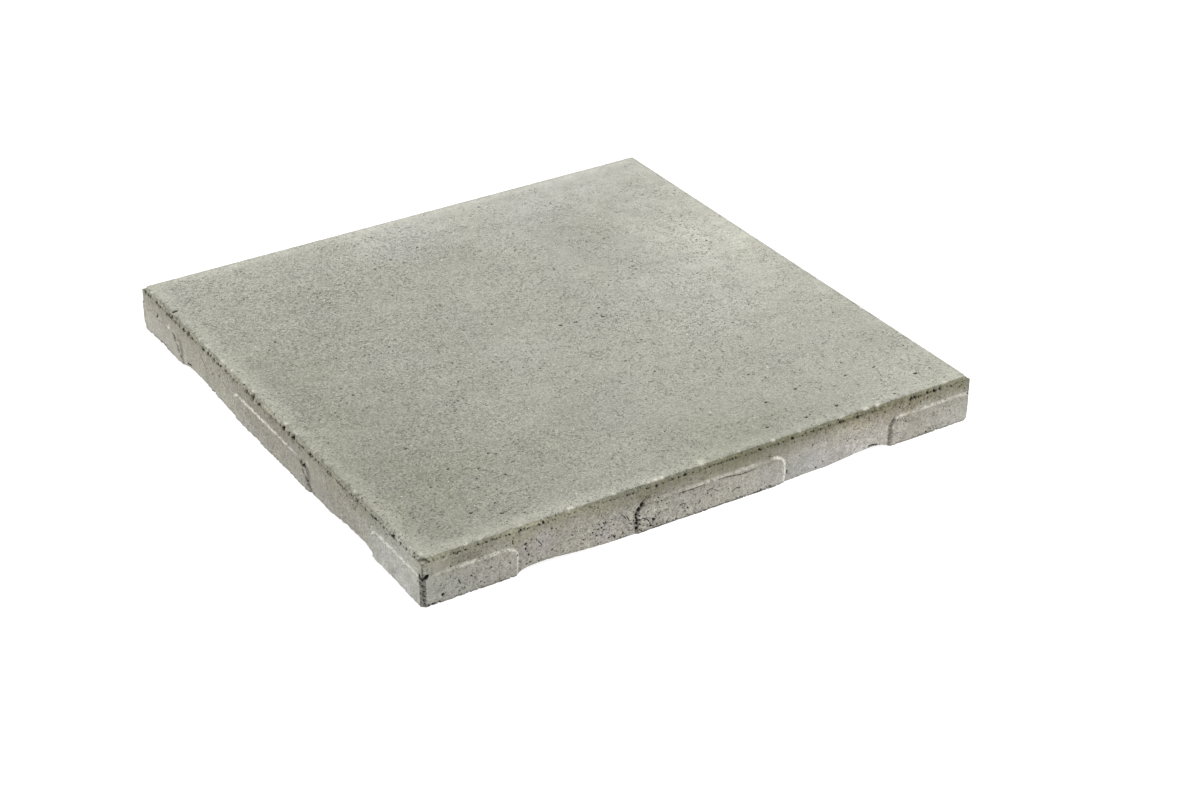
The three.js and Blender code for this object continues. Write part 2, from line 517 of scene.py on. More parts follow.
    seams: Marks = tables(
        Side,
        front=(
            (0.45, -58.6, 29.4, -62.6, 25.4), (1.35, -62.4, 24.6, -64.4, 22.6),
            (1.55, -65.2, 21.6, -67.2, 19.2), (1.15, -68.0, 18.0, -68.5, 15.6),
            (0.8, -68.2, 14.8, -67.7, 12.4, -68.0, 10.2), (1.45, -68.0, 9.2, -68.1, 7.0),
            (1.5, -67.8, 5.0, -67.6, 3.4), (0.5, -66.3, 12.0, -62.7, 12.6, -59.2, 10.5, -57, 7.8),
            (0.5, -5.3, 17.4, -0.7, 17.7, 4.9, 14), (0.5, -1.5, 13.5, -0.5, 10.5),
            (0.5, -219.7, 14.2, -218.2, 10.2), (0.5, -173.7, 30.8, -173.7, 27.4),
            (0.38, -154.2, 25.2, -151.4, 22.0, -149.6, 18.4), (0.45, -151.1, 18.4, -149.6, 17.0),
            (0.8, -87.8, 5.0, -86.6, 3.4, -85.4, 5.0), (0.6, 70.4, 10.2, 70.4, 6.8),
            (0.8, 149.6, 6.2, 153.6, 6.2, 158.2, 4.9), (0.4, -81, 21, -78.4, 18.6, -76.5, 16),
            (0.45, -76, 18, -74.6, 15.4, -73.8, 13), (0.4, -31, 12, -27, 13.5, -24, 12),
            (0.4, 18, 9.5, 22, 11, 26, 9.8), (0.4, -30, 23.9, -18, 23.3, -7, 23.7),
            (0.42, 5, 24, 13, 23.8, 20, 22.6, 27, 21.6, 40, 22.2),
        ),
        right=(
            (1.0, -64, 23, -68, 20.5, -69, 14, -69, 4), (0.7, 174, 23.5, 170, 20, 169, 9),
            (0.5, -120, 15, -116, 13, -113, 9),
        ),
        back=(
            (0.8, 64, 23.5, 68, 20, 69, 9), (1.1, -174, 23, -170, 19.5, -169, 12, -169, 3),
            (0.5, 96, 14, 101, 12.5, 104, 8),
        ),
        left=(
            (2.1, 57.8, 23.4, 59.8, 20.2), (1.8, 62.0, 22.8, 63.2, 20.2), (1.2, 59.6, 17.2, 62.4, 14.8),
            (1.8, 64.6, 12.4, 67.6, 9.2), (1.3, 66.8, 7.6, 68.8, 5.4), (1.4, 69, 3.6, 72.6, 3.4, 76.5, 3.6),
            (1.1, -184, 24, -181, 22.4), (2.0, -180.4, 21.2, -177.6, 18.6),
            (1.6, -176.6, 16.8, -174.6, 14.2), (1.9, -174.0, 12.6, -171.8, 9.8),
            (1.5, -171.4, 8.0, -170.2, 4.4), (1.2, -218, 26, -216.6, 24),
            (1.2, -160, 6.2, -156, 6.8, -151, 7.6), (0.5, -131, 27.8, -119, 19.5),
        ),
    )
    side_crowds: Marks = tables(
        Side,
        front=(
            (-92, 12, 17, 7, 34), (-56, 8, 8, 6, 10), (-140, 15, 18, 6, 12), (-10, 8, 40, 6, 18),
            (-205, 10, 25, 6, 12), (115, 12, 28, 7, 9), (215, 6, 14, 3, 5), (-15, 2, 40, 1, 45),
            (150, 33.5, 60, 1.6, 26), (-190, 31, 40, 4, 16),
        ),
        right=((-100, 12, 22, 7, 26), (50, 10, 34, 7, 20), (190, 12, 25, 7, 12)),
        back=((130, 14, 20, 8, 28), (-30, 9, 35, 7, 18), (-200, 12, 22, 7, 12)),
        left=(
            (-205, 26, 20, 5, 8), (-120, 20, 25, 8, 5), (0, 12, 45, 6, 6), (120, 30, 34, 4, 14),
            (0, 34.8, 160, 1.3, 90),
        ),
    )
    strewn: tuple[float, ...] = (0, 18, 150, 12, 22)
    top_marks: Table = (
        (-188.3, -212, 1.1), (-169.4, -224.4, 1.1), (-153, -161.8, 1.0), (-172.7, -150.2, 1.0),
        (-135.6, -146.4, 0.9), (-140.2, -180, 0.9), (-186, -107.5, 1.1), (16, -1.6, 1.3), (30, -4.3, 1.0),
        (53.6, -7.8, 1.2), (85.8, -196, 1.0), (117.8, -191, 1.1), (130, -229.7, 1.2), (179.5, -239, 1.0),
        (213.6, -222, 1.2), (164.7, -194.5, 1.0), (64.7, -227.8, 1.0), (99, -232, 1.0), (191.7, -196, 1.0),
        (-244.1, 190.7, 1.9), (-120, -66, 0.8), (64, 88, 0.8),
    )
    top_strewn: int = 110
    top_margin: float = 9 * MM
    corner_marks: Table = (
        (-4.8, 26.0, 0.6), (-4.2, 25.8, 0.7), (-3.6, 25.5, 0.9), (-2.9, 25.1, 1.0), (-2.3, 24.8, 1.0),
        (-1.6, 24.4, 1.0), (-0.8, 24.0, 1.0), (5.4, 26.0, 0.6), (4.9, 25.8, 0.8), (4.4, 25.6, 1.1),
        (3.8, 25.4, 1.3), (3.2, 25.1, 1.5), (2.6, 24.8, 1.5), (1.8, 24.4, 1.3), (0.9, 24.0, 1.1),
        (0, 22.6, 0.9), (-0.3, 18.5, 0.8), (0.7, 13.4, 0.8), (1.2, 9.5, 0.8), (0.2, 6, 0.7), (1.0, 3, 0.8),
    )
    missing: float = 0.35
    foot_radii: tuple[float, float, float] = (0.5 * MM, 1.3 * MM, 2)
    side_radii: tuple[float, float, float] = (0.4 * MM, 0.85 * MM, 2.2)
    top_radii: tuple[float, float, float] = (0.5 * MM, 0.95 * MM, 3)
    draws: random.Random = field(default_factory=lambda: random.Random(SEED))

    def radius(self, smallest: float, largest: float, rarity: float = 2.0) -> float:
        """Draws a radius, with the large ones the rarer.

        Args:
            smallest: Least radius.
            largest: Greatest radius.
            rarity: Exponent of the draw; more makes large ones rarer.

        Returns:
            A radius between the two.
        """
        return smallest + (largest - smallest) * self.draws.random() ** rarity

    def on_face(self, side: Side, along: float, up: float, radius: float) -> Void:
        """Puts a void on a side, wherever its surface lies.

        Args:
            side: The side.
            along: Place along it.
            up: Height over the underside.
            radius: Radius of the void.

        Returns:
            The void.
        """
        return self.FACE.pit(side, side.place(along, self.shape.surface(along, up), up), radius)

    def along_chamfer(self, side: Side) -> Iterator[Void]:
        """Gives the voids that string along the lower arris of the chamfer of one side.

        Args:
            side: The side.

        Yields:
            The voids.
        """
        half, foot = self.shape.half, self.shape.chamfer_foot
        lift = self.chamfer_lifts[side.value]
        first, second = self.chamfer_sizes[side.value]
        mark_stray, stray = 0.2, 0.5  # how far their heights stray, in millimetres
        for along, radius in self.chamfer_marks[side]:
            radius *= second if along < self.second_before or radius > self.second_over else first
            up = foot + self.draws.gauss(lift, mark_stray) * MM
            yield self.CHAMFER.pit(side, side.place(along * MM, half, up), radius * MM)
        least_gap, least, most, more_in_crowds = 1.2, 0.5, 0.7, 0.4  # a gap and radii, in millimetres
        along = -half
        while along < half:
            crowd = 0.5 + 0.5 * side.ripple(Ripple.VOID_CROWDS, along)
            spread = 2 * self.chamfer_gaps[side.value] * (1 - crowd)
            along += (least_gap + spread * self.draws.random()) * MM
            radius = self.radius(least * MM, (most + more_in_crowds * crowd) * MM)
            up = foot + self.draws.gauss(lift, stray) * MM
            yield self.SMALL_CHAMFER.pit(side, side.place(along, half, up), radius)

    def along_foot(self, side: Side) -> Iterator[Void]:
        """Gives the nicks where grains have broken out of the bottom edge of one side.

        Args:
            side: The side.

        Yields:
            The voids.
        """
        least_gap, largest_gap, rise = 3, 15, 0.6  # in millimetres
        out = self.shape.half + self.shape.proud
        along = -self.shape.half
        while along < self.shape.half:
            along += self.draws.uniform(least_gap, largest_gap) * MM
            if not self.shape.in_gap(along):
                up = abs(self.draws.gauss(0, rise)) * MM
                yield self.FOOT.pit(side, side.place(along, out, up), self.radius(*self.foot_radii))

    def along_seams(self, side: Side) -> Iterator[Void]:
        """Gives the voids that run together into cracks and into the torn ends of one side's pads.

        Args:
            side: The side.

        Yields:
            The voids.
        """
        step_length, stray, least, most = 1.05, 0.2, 0.65, 1.15  # in radii
        for size, *places in self.seams[side]:
            corners = list(zip(places[::2], places[1::2]))
            for start, end in zip(corners, corners[1:]):
                steps = max(1, round(math.dist(start, end) / (step_length * size)))
                for step in range(steps):
                    along, up = (a + (b - a) * step / steps for a, b in zip(start, end))
                    radius = size * self.draws.uniform(least, most)
                    along += self.draws.gauss(0, stray * size)
                    yield self.on_face(side, along * MM, up * MM, radius * MM)

    def on_side(self, side: Side) -> Iterator[Void]:
        """Gives the single voids on one upright side.

        Args:
            side: The side.

        Yields:
            The voids.
        """
        mark_size = 0.75  # a mark looks wider than its void
        lowest = 0.6 * MM  # of the heights at which a strewn void is kept
        for along, up, radius in self.side_marks[side]:
            yield self.on_face(side, along * MM, up * MM, mark_size * radius * MM)
        for middle, height, spread, rise, number in (*self.side_crowds[side], self.strewn):
            for _ in range(number):
                along = self.draws.gauss(middle, spread) * MM
                up = self.draws.gauss(height, rise) * MM
                radius = self.radius(*self.side_radii)
                if abs(along) < self.shape.half and lowest < up < self.shape.chamfer_foot:
                    yield self.on_face(side, along, up, radius)

    def on_top(self) -> Iterator[Void]:
        """Gives the voids of the top face: the large ones, each with a small one beside it, and the strewn.

        Yields:
            The voids.
        """
        down = Vector((0, 0, -1))
        mark_depth, beside_gap, beside_size, beside_depth, depth = 1.3, 1.3, 0.65, 0.9, 1.2  # in radii
        most_turn = 0.6  # of the small void's direction off the right, in radians
        for across, back, size in self.top_marks:
            centre, radius = Vector((across * MM, back * MM, self.shape.height)), size * MM
            yield Void(centre, down, radius, mark_depth * radius)
            turn = self.draws.uniform(-most_turn, most_turn)
            beside = Vector((math.cos(turn), math.sin(turn), 0)) * (beside_gap * radius)
            yield Void(centre + beside, down, beside_size * radius, beside_depth * radius)
        reach = self.shape.half - self.top_margin
        for _ in range(self.top_strewn):
            across, back = (self.draws.uniform(-reach, reach) for _ in range(2))
            radius = self.radius(*self.top_radii)
            yield Void(Vector((across, back, self.shape.height)), down, radius, depth * radius)

    def at_corner(self, side: Side) -> Iterator[Void]:
        """Gives the cavity over the corner flat at the left end of one side, and the pits in the flat.

        Args:
            side: The side.

        Yields:
            The voids.
        """
        inward = side.turn() @ Vector((1, 1, 0)).normalized()
        reach = self.shape.half + self.shape.proud
        leg = self.shape.flat_leg
        arms = 0.8 * leg / MM  # past which a mark belongs to the near corner's long arms
        for aside, up, size in self.corner_marks:
            if side is not Side.FRONT and (self.draws.random() < self.missing or abs(aside) > arms):
                continue
            on_flat = max(-leg / math.sqrt(2), min(leg / math.sqrt(2), aside * MM))
            beyond = aside * MM - on_flat
            shift = on_flat / math.sqrt(2)
            back = reach - self.shape.surface(self.shape.half, up * MM)
            along = -reach + leg / 2 + shift + (beyond if beyond > 0 else back)
            out = reach - leg / 2 + shift + (beyond if beyond < 0 else -back)
            radius = size * MM
            yield Void(side.place(along, out, up * MM), inward, radius, self.FACE.depth * radius)

    def all(self) -> list[Void]:
        """Gives every void.

        Returns:
            The voids.
        """
        voids = list(self.on_top())
        stretches = (self.along_chamfer, self.along_foot, self.along_seams, self.on_side, self.at_corner)
        for side in Side:
            for stretch in stretches:
                voids += stretch(side)
        return voids


class NodeSheet:
    """A material's node tree, with one short call for each kind of node it uses."""

    def __init__(self, material: bpy.types.Material) -> None:
        """Empties the material's tree and starts a new one.

        Args:
            material: The material to build in.
        """
        material.use_nodes = True
        self.tree = material.node_tree
        self.tree.nodes.clear()

    def node(self, kind: str, inputs: dict[int | str, object] | None = None, **settings: object) -> Node:
        """Adds a node.

        Args:
            kind: The node's type name.
            inputs: What its inputs take, by name or number: an output to link, a number or a colour.
            settings: Attributes to set on it.

        Returns:
            The node.
        """
        made = self.tree.nodes.new(kind)
        for name, value in settings.items():
            setattr(made, name, value)
        for name, value in (inputs or {}).items():
            if isinstance(value, Socket):
                self.tree.links.new(value, made.inputs[name])
            else:
                made.inputs[name].default_value = value
        return made

    def surface(self, inputs: dict[int | str, object]) -> None:
        """Ends the tree in a Principled shader.

        Args:
            inputs: What the shader's inputs take, by name.
        """
        shader = self.node("ShaderNodeBsdfPrincipled", inputs)
        self.node("ShaderNodeOutputMaterial", {"Surface": shader.outputs[0]})

    def math(self, operation: str, first: object, second: object = 0.0, clamp: bool = False) -> Socket:
        """Adds a Math node.

        Args:
            operation: What it does.
            first: The first number.
            second: The second number, where it takes two.
            clamp: Whether the result is held between 0 and 1.

        Returns:
            The result.
        """
        inputs = {0: first, 1: second}
        return self.node("ShaderNodeMath", inputs, operation=operation, use_clamp=clamp).outputs[0]

    def times(self, first: object, second: object, clamp: bool = False) -> Socket:
        """Multiplies two numbers, and holds the result between 0 and 1 if asked to."""
        return self.math("MULTIPLY", first, second, clamp)

    def ramp(
        self, value: object, start: object, end: object, low: object = 0.0, high: object = 1.0
    ) -> Socket:
        """Carries a value smoothly from one range to another.

        Args:
            value: What is carried.
            start: Value at which the result is low.
            end: Value at which the result is high.
            low: Result at the start and before it.
            high: Result at the end and after it.

        Returns:
            The result.
        """
        inputs = dict(enumerate((value, start, end, low, high)))
        return self.node("ShaderNodeMapRange", inputs, interpolation_type="SMOOTHSTEP").outputs[0]

    def mix(self, share: object, first: object, second: object, blend: str = "MIX") -> Socket:
        """Mixes two colours, and past the second where the share is over 1.

        Args:
            share: How much of the second shows.
            first: Colour at no share.
            second: Colour at full share.
            blend: Blend type.

        Returns:
            The mixed colour.
        """
        inputs = {0: share, 6: first, 7: second}  # 6 and 7 are the sockets of the colours
        made = self.node("ShaderNodeMix", inputs, data_type="RGBA", blend_type=blend, clamp_factor=False)
        return made.outputs[2]

    def mix_value(self, share: object, first: object, second: object) -> Socket:
        """Mixes two numbers.

        Args:
            share: How much of the second shows.
            first: Number at no share.
            second: Number at full share.

        Returns:
            The mixed number.
        """
        return self.node("ShaderNodeMix", {0: share, 2: first, 3: second}, data_type="FLOAT").outputs[0]

    def vary(self, colour: Socket, value: Socket, swing: object) -> Socket:
        """Lightens and darkens a colour by a noise value.

        Args:
            colour: The colour.
            value: Noise about 0.5.
            swing: How far the brightness swings for a full step of the noise.

        Returns:
            The varied colour.
        """
        step = self.times(self.math("SUBTRACT", value, 0.5), swing)
        return self.mix(1.0, colour, self.math("ADD", step, 1.0), "MULTIPLY")

    def noises(self, at: Socket, grain: float, detail: float, roughness: float) -> tuple[Socket, ...]:
        """Adds three noise patterns of one grain that don't follow each other.

        Args:
            at: Coordinates.
            grain: Size of the largest features.
            detail: Octaves on top of the first.
            roughness: Share of each octave in the next.

        Returns:
            The three, each from 0 to 1 about 0.5.
        """
        inputs = {"Vector": at, "Scale": 1 / grain, "Detail": detail, "Roughness": roughness}
        made = self.node("ShaderNodeTexNoise", inputs, noise_dimensions="3D")
        return tuple(self.node("ShaderNodeSeparateColor", {0: made.outputs["Color"]}).outputs)

    def cells(self, at: Socket, size: float) -> tuple[Socket, Socket, Socket]:
        """Divides space into round-cornered cells, one to a grain.

        Args:
            at: Coordinates.
            size: Mean width of a cell.

        Returns:
            The distance from the cell's middle in widths, and two random values of the cell.
        """
        inputs = {"Vector": at, "Scale": 1 / size}
        made = self.node("ShaderNodeTexVoronoi", inputs, voronoi_dimensions="3D", feature="F1")
        draw, other, _ = self.node("ShaderNodeSeparateColor", {0: made.outputs["Color"]}).outputs
        return made.outputs["Distance"], draw, other

    def dots(self, distance: Socket, draw: Socket, largest: float, rarity: float) -> Socket:
        """Puts a round soft dot in the middle of every cell, most of them small.

        Args:
            distance: Distance from the cell's middle.
            draw: The cell's random value.
            largest: Radius of the largest dot, in cell widths.
            rarity: Exponent of the draw of the sizes; more makes large ones rarer.

        Returns:
            1 in the dots and 0 between them.
        """
        radius = self.times(self.math("POWER", draw, rarity), largest)
        return self.ramp(distance, self.times(radius, 0.5), radius, low=1.0, high=0.0)

    def warped(self, at: Socket, grain: float, reach: float) -> Socket:
        """Pulls coordinates about, so that what is drawn on them has no round outlines.

        Args:
            at: Coordinates.
            grain: Size of the pulls.
            reach: How far they go.

        Returns:
            The pulled coordinates.
        """
        inputs = {"Vector": at, "Scale": 1 / grain, "Detail": 1.0}
        pull = self.node("ShaderNodeTexNoise", inputs, noise_dimensions="3D")
        inputs = {0: pull.outputs["Color"], 1: Vector((reach, reach, reach)), 2: at}
        return self.node("ShaderNodeVectorMath", inputs, operation="MULTIPLY_ADD").outputs[0]

    def curls(self, at: Socket, grain: float, width: float) -> Socket:
        """Draws short curling lines.

        Args:
            at: Coordinates.
            grain: Size of their curls.
            width: Their width, as a share of the noise that they follow.

        Returns:
            1 on the lines and 0 between them.
        """
        clear = 0.3  # share of the width that is fully dark
        follow, broken, _ = self.noises(at, grain, detail=2, roughness=0.6)
        gap = self.math("ABSOLUTE", self.math("SUBTRACT", follow, 0.5))
        line = self.ramp(gap, clear * width, width, low=1.0, high=0.0)
        return self.times(line, self.ramp(broken, start=0.48, end=0.58))


class Zone(Enum):
    """A face of the casting that has patches of other tints, and of painted light and shade."""

    TOP = "top"
    FRONT = "front"
    LEFT = "left"

    def point(self, first: float, second: float, shape: CastingShape) -> tuple[float, float, float]:
        """Gives a point of the face.

        Args:
            first: Its place across the slab, or on the left its place back.
            second: Its height over the underside, or on top its place back.
            shape: Sizes of the casting.

        Returns:
            The point in the slab's frame.
        """
        reach = shape.half + shape.proud
        if self is Zone.TOP:
            return first, second, shape.height
        return (first, -reach, second) if self is Zone.FRONT else (-reach, first, second)


@dataclass(frozen=True)
class ConcreteFinish:
    """Grey pressed concrete, with a fine skin on top and coarser sides.

    Attributes:
        name: The material's name.
        skin: Colour of the top face.
        rim: Colour of the denser rim of the top face.
        chamfer: Colour of the chamfer at the front and back.
        end_chamfer: Colour of the chamfer on the left and right.
        band: Colour of the upper part of the front and back.
        end_band: Colour of the upper part of the left and right sides.
        flank: Colour of the lower part of the sides.
        laitance_and_highlight: Colour of the cement that was rubbed up on the pads' shoulders, and of the
            painted highlight along the shoulders and the top's edge.
        pore_shade: Colour of the painted shade inside pores, holes, hair cracks and voids, also laid over
            stains and painted shade on the faces.
        speck: Colour of light sand grains.
        warm: Tint of the spots with more sand.
        cool: Tint of the spots with more cement.
        broad: Size of the broad changes of lightness and tint.
        patchy: Size of the patches.
        fine: Size of the finest grain.
        sand: Width of a grain of sand.
        pore_cell: Mean distance between pores.
        hole_cell: Mean distance between the larger holes.
        curl: Size of the curls of the hair cracks.
        drag: Width of the drag marks that the mould's walls leave.
        relief: Depth of the finest relief.
        top_zone: Heights between which the colour of the chamfer gives way to the top face's.
        chamfer_zone: Heights between which the band gives way to the chamfer.
        band_zone: Heights between which the lower part of a side gives way to the band.
        rim_zone: Places out from the middle of the top between which the rim begins.
        far_rim: How clear the rim is along the right side.
        fray: How far the edge of the band strays up and down, and how soft a change at a corner is.
        patches: Soft patches of each face: their two places, radius, how many times as far they reach
        along as upright, and what they multiply the colour by. Lengths are in millimetres. Beside tints,
        they hold painted shade towards the near corner of the top and painted light towards its far corner.
    """

    name: str = "cast_concrete"
    skin: Colour = (0.319, 0.318, 0.273, 1)
    rim: Colour = (0.358, 0.356, 0.303, 1)
    chamfer: Colour = (0.188, 0.184, 0.131, 1)
    end_chamfer: Colour = (0.275, 0.269, 0.213, 1)
    band: Colour = (0.240, 0.228, 0.172, 1)
    end_band: Colour = (0.250, 0.240, 0.190, 1)
    flank: Colour = (0.340, 0.327, 0.285, 1)
    laitance_and_highlight: Colour = (0.74, 0.72, 0.64, 1)
    pore_shade: Colour = (0.030, 0.028, 0.020, 1)
    speck: Colour = (0.66, 0.65, 0.58, 1)
    warm: Colour = (1.002, 1.0, 0.985, 1)
    cool: Colour = (0.998, 1.0, 1.015, 1)
    broad: float = 70 * MM
    patchy: float = 12 * MM
    fine: float = 1.5 * MM
    sand: float = 1.2 * MM
    pore_cell: float = 2.1 * MM
    hole_cell: float = 5 * MM
    curl: float = 2.8 * MM
    drag: float = 3.5 * MM
    relief: float = 0.5 * MM
    top_zone: tuple[float, float] = (39.2 * MM, 39.8 * MM)
    chamfer_zone: tuple[float, float] = (35 * MM, 37.4 * MM)
    band_zone: tuple[float, float] = (19 * MM, 36 * MM)
    rim_zone: tuple[float, float] = (230 * MM, 242 * MM)
    far_rim: float = 0.45
    fray: float = 4 * MM
    # tints, with painted shade towards the near corner of the top and painted light towards its far corner
    patches: dict[Zone, Table] = tables(
        Zone,
        top=(
            (-250, -250, 300, 1, 0.86, 0.862, 0.825), (-240, 40, 130, 1, 0.895, 0.905, 0.885),
            (-180, -30, 80, 1, 0.93, 0.93, 0.92), (40, -235, 105, 1, 0.87, 0.88, 0.84),
            (20, 240, 110, 1, 1.14, 1.14, 1.16), (-80, 240, 90, 1, 1.05, 1.05, 1.05),
            (135, 20, 120, 1, 1.09, 1.09, 1.12), (240, 100, 110, 1, 1.17, 1.165, 1.17),
            (120, 235, 90, 1, 1.08, 1.08, 1.11), (215, 230, 150, 1, 1.17, 1.17, 1.20),
            (215, 60, 75, 1, 1.15, 1.145, 1.145), (-60, -215, 60, 1, 1.06, 1.06, 1.07),
            (-30, -20, 60, 1, 1.07, 1.07, 1.08), (150, -60, 65, 1, 1.07, 1.07, 1.07),
            (60, 150, 65, 1, 1.06, 1.06, 1.07), (-30, 215, 60, 1, 1.07, 1.07, 1.10),
            (210, -210, 50, 1, 1.06, 1.06, 1.06), (-225, -110, 170, 1, 1.0, 1.0, 0.985),
            (-225, 110, 170, 1, 1.0, 1.0, 0.99), (120, 200, 230, 1, 1.005, 1.0, 1.01),
            (245, -40, 80, 1, 1.09, 1.085, 1.09), (-190, 250, 120, 1, 1.09, 1.09, 1.09),
            (10, 255, 110, 1, 1.05, 1.05, 1.05), (180, 108, 65, 1, 1.08, 1.08, 1.08),
            (188, 0, 60, 1, 1.07, 1.07, 1.07), (-110, -215, 55, 1, 1.05, 1.05, 1.05),
            (-6.5, -243, 5, 1, 1.45, 1.45, 1.40), (20.3, -229.2, 3.5, 1, 1.3, 1.3, 1.28),
            (-58.8, -243.5, 5, 1, 1.25, 1.25, 1.24), (-224.6, -50.1, 3.5, 1, 1.35, 1.35, 1.3),
        ),
        front=(
            (-225, 12, 50, 1, 0.87, 0.87, 0.85), (170, 10, 130, 1, 1.16, 1.16, 1.18),
            (115, 14, 60, 1, 1.06, 1.06, 1.07), (215, 6, 50, 1, 1.00, 1.02, 1.06),
            (170, 36, 90, 1, 0.78, 0.75, 0.68), (-150, 22, 14, 1, 1.08, 1.06, 1.14),
            (-95, 8, 11, 1, 1.05, 1.03, 1.12), (-140, 35, 85, 5, 1.15, 1.15, 1.15),
            (-150, 39, 95, 25, 1.2, 1.2, 1.2), (-235, 38, 40, 8, 1.12, 1.12, 1.12),
            (-215, 28, 50, 7, 0.84, 0.84, 0.80), (-45, 30, 60, 5, 0.82, 0.82, 0.77),
            (45, 31, 75, 6, 0.79, 0.79, 0.74), (70, 36, 150, 30, 0.80, 0.80, 0.74),
            (60, 39, 100, 30, 0.96, 0.96, 0.90), (220, 34, 60, 10, 0.90, 0.90, 0.82),
            (155, 10, 46, 2, 1.24, 1.26, 1.38), (140, 28, 32, 3, 1.17, 1.17, 1.16),
            (242, 26, 35, 1.6, 0.88, 0.88, 0.86), (90, 6, 75, 4, 1.0, 1.01, 1.08),
        ),
        left=(
            (-215, 16, 75, 1, 1.23, 1.27, 1.35), (130, 10, 70, 1, 1.02, 1.02, 0.98),
            (0, 12, 90, 1, 0.92, 0.91, 0.90), (0, 19, 330, 22, 0.88, 0.88, 0.86),
            (-110, 9, 90, 6, 0.87, 0.87, 0.87), (-20, 39.2, 90, 30, 1.45, 1.45, 1.42),
            (-238, 34, 40, 2, 1.25, 1.25, 1.27), (-160, 34, 35, 4, 0.90, 0.89, 0.86),
            (190, 37, 90, 30, 0.84, 0.84, 0.82), (-65.5, 26.1, 4.5, 1, 1.4, 1.4, 1.35),
            (193.5, 27.1, 3.5, 1, 1.5, 1.5, 1.4),
        ),
    )

    def tones_and_light(self, points: np.ndarray, shape: CastingShape) -> np.ndarray:
        """Works out the tint of the patches at points of the surface, with their painted light and shade.

        Args:
            points: The points, a row each.
            shape: Sizes of the casting.

        Returns:
            What the colour is multiplied by at each point.
        """
        soft = 0.85  # share of a patch's radius over which it fades
        tone_and_light = np.ones((len(points), 4), np.float32)
        on_top = points[:, 2] > shape.height - NEAR
        for zone, patches in self.patches.items():
            for first, second, radius, flat, *tint in patches:
                centre = np.array(zone.point(first * MM, second * MM, shape))
                reach = np.array((radius, radius, radius / flat)) * MM
                gap = np.linalg.norm((points - centre) / reach, axis=1)
                share = np.clip((1 - gap) / soft, 0, 1)
                share = share**2 * (3 - 2 * share) * (on_top == (zone is Zone.TOP))
                tone_and_light[:, :3] *= 1 + share[:, None] * (np.array(tint) - 1)
        return tone_and_light

    def material(self) -> bpy.types.Material:
        """Builds the material.

        Returns:
            The concrete.
        """
        made = bpy.data.materials.new(self.name)
        sheet = NodeSheet(made)
        at = sheet.node("ShaderNodeTexCoord").outputs["Object"]
        void, rub, stain_and_shade, rough = (
            sheet.node("ShaderNodeAttribute", attribute_name=name).outputs["Fac"] for name in CastSlab.MARKS
        )
        broad = sheet.noises(at, self.broad, detail=2, roughness=0.55)
        patchy = sheet.noises(at, self.patchy, detail=2, roughness=0.6)
        fine = sheet.noises(at, self.fine, detail=2, roughness=0.85)

        ground = self.grained(sheet, at, rough, broad, patchy, fine)
        # rubbed cement with painted highlight on the shoulders and the top's edge
        scuffed_and_lit = sheet.times(rub, sheet.ramp(fine[1], start=0.36, end=0.58, low=0.6))
        ground = sheet.mix(scuffed_and_lit, ground, self.laitance_and_highlight)
        # stains and painted shade, darkened with the colour of the pores' shade
        dirty_and_shaded = sheet.times(stain_and_shade, sheet.ramp(fine[2], start=0.32, end=0.66, low=0.25))
        ground = sheet.mix(dirty_and_shaded, ground, self.pore_shade)

        crowd = sheet.math("ADD", patchy[2], sheet.times(broad[2], 0.6))
        crowd = sheet.ramp(crowd, start=0.66, end=0.94, low=0.35, high=1.6)
        # painted shade inside the voids sunk into the mesh
        open_void = sheet.ramp(void, start=0.15, end=0.6)
        ground, pits = self.pitted(sheet, at, sheet.times(crowd, rough), open_void, ground)
        height = sheet.math("SUBTRACT", fine[0], pits)
        bump = sheet.node("ShaderNodeBump", {"Height": height, "Distance": self.relief, "Strength": 0.8})
        sheet.surface({
            "Base Color": ground,
            "Roughness": sheet.ramp(patchy[1], *NOISE_SPAN, low=0.84, high=0.96),
            "Specular IOR Level": 0.3,
            "Normal": bump.outputs[0],
        })
        return made

    def pitted(
        self, sheet: NodeSheet, at: Socket, porous: Socket, open_void: Socket, ground: Socket
    ) -> tuple[Socket, Socket]:
        """Strews pores, holes, hair cracks and light grains of sand over the faces, with painted shade
        inside the pores, holes, cracks and the mesh's voids.

        Args:
            sheet: The material's nodes.
            at: Coordinates.
            porous: How thickly the pores lie.
            open_void: 1 in the voids of the mesh.
            ground: The colour without them.

        Returns:
            The colour with them, and 1 where they dip into the surface.
        """
        uneven = sheet.warped(at, grain=1.6 * MM, reach=1.6 * MM)
        distance, draw, _ = sheet.cells(uneven, self.pore_cell)
        pores = sheet.times(sheet.dots(distance, draw, largest=0.34, rarity=1.6), porous, clamp=True)
        distance, draw, other = sheet.cells(uneven, self.hole_cell)
        holes = sheet.times(sheet.dots(distance, draw, largest=0.25, rarity=2.8), porous, clamp=True)
        specks = sheet.dots(distance, other, largest=0.19, rarity=4.4)
        curls = sheet.times(sheet.curls(at, self.curl, width=0.04), porous, clamp=True)
        # painted shade in the pores and hair cracks, and light grains of sand
        layers = ((pores, 0.46, self.pore_shade), (curls, 0.55, self.pore_shade), (specks, 0.9, self.speck))
        for where, strength, colour in layers:
            ground = sheet.mix(sheet.times(where, strength), ground, colour)
        # painted shade in the holes and the mesh's voids
        hollow = sheet.math("MAXIMUM", sheet.times(holes, 0.9), open_void)
        pits = sheet.math("MAXIMUM", curls, sheet.math("MAXIMUM", pores, holes))
        return sheet.mix(hollow, ground, self.pore_shade), pits

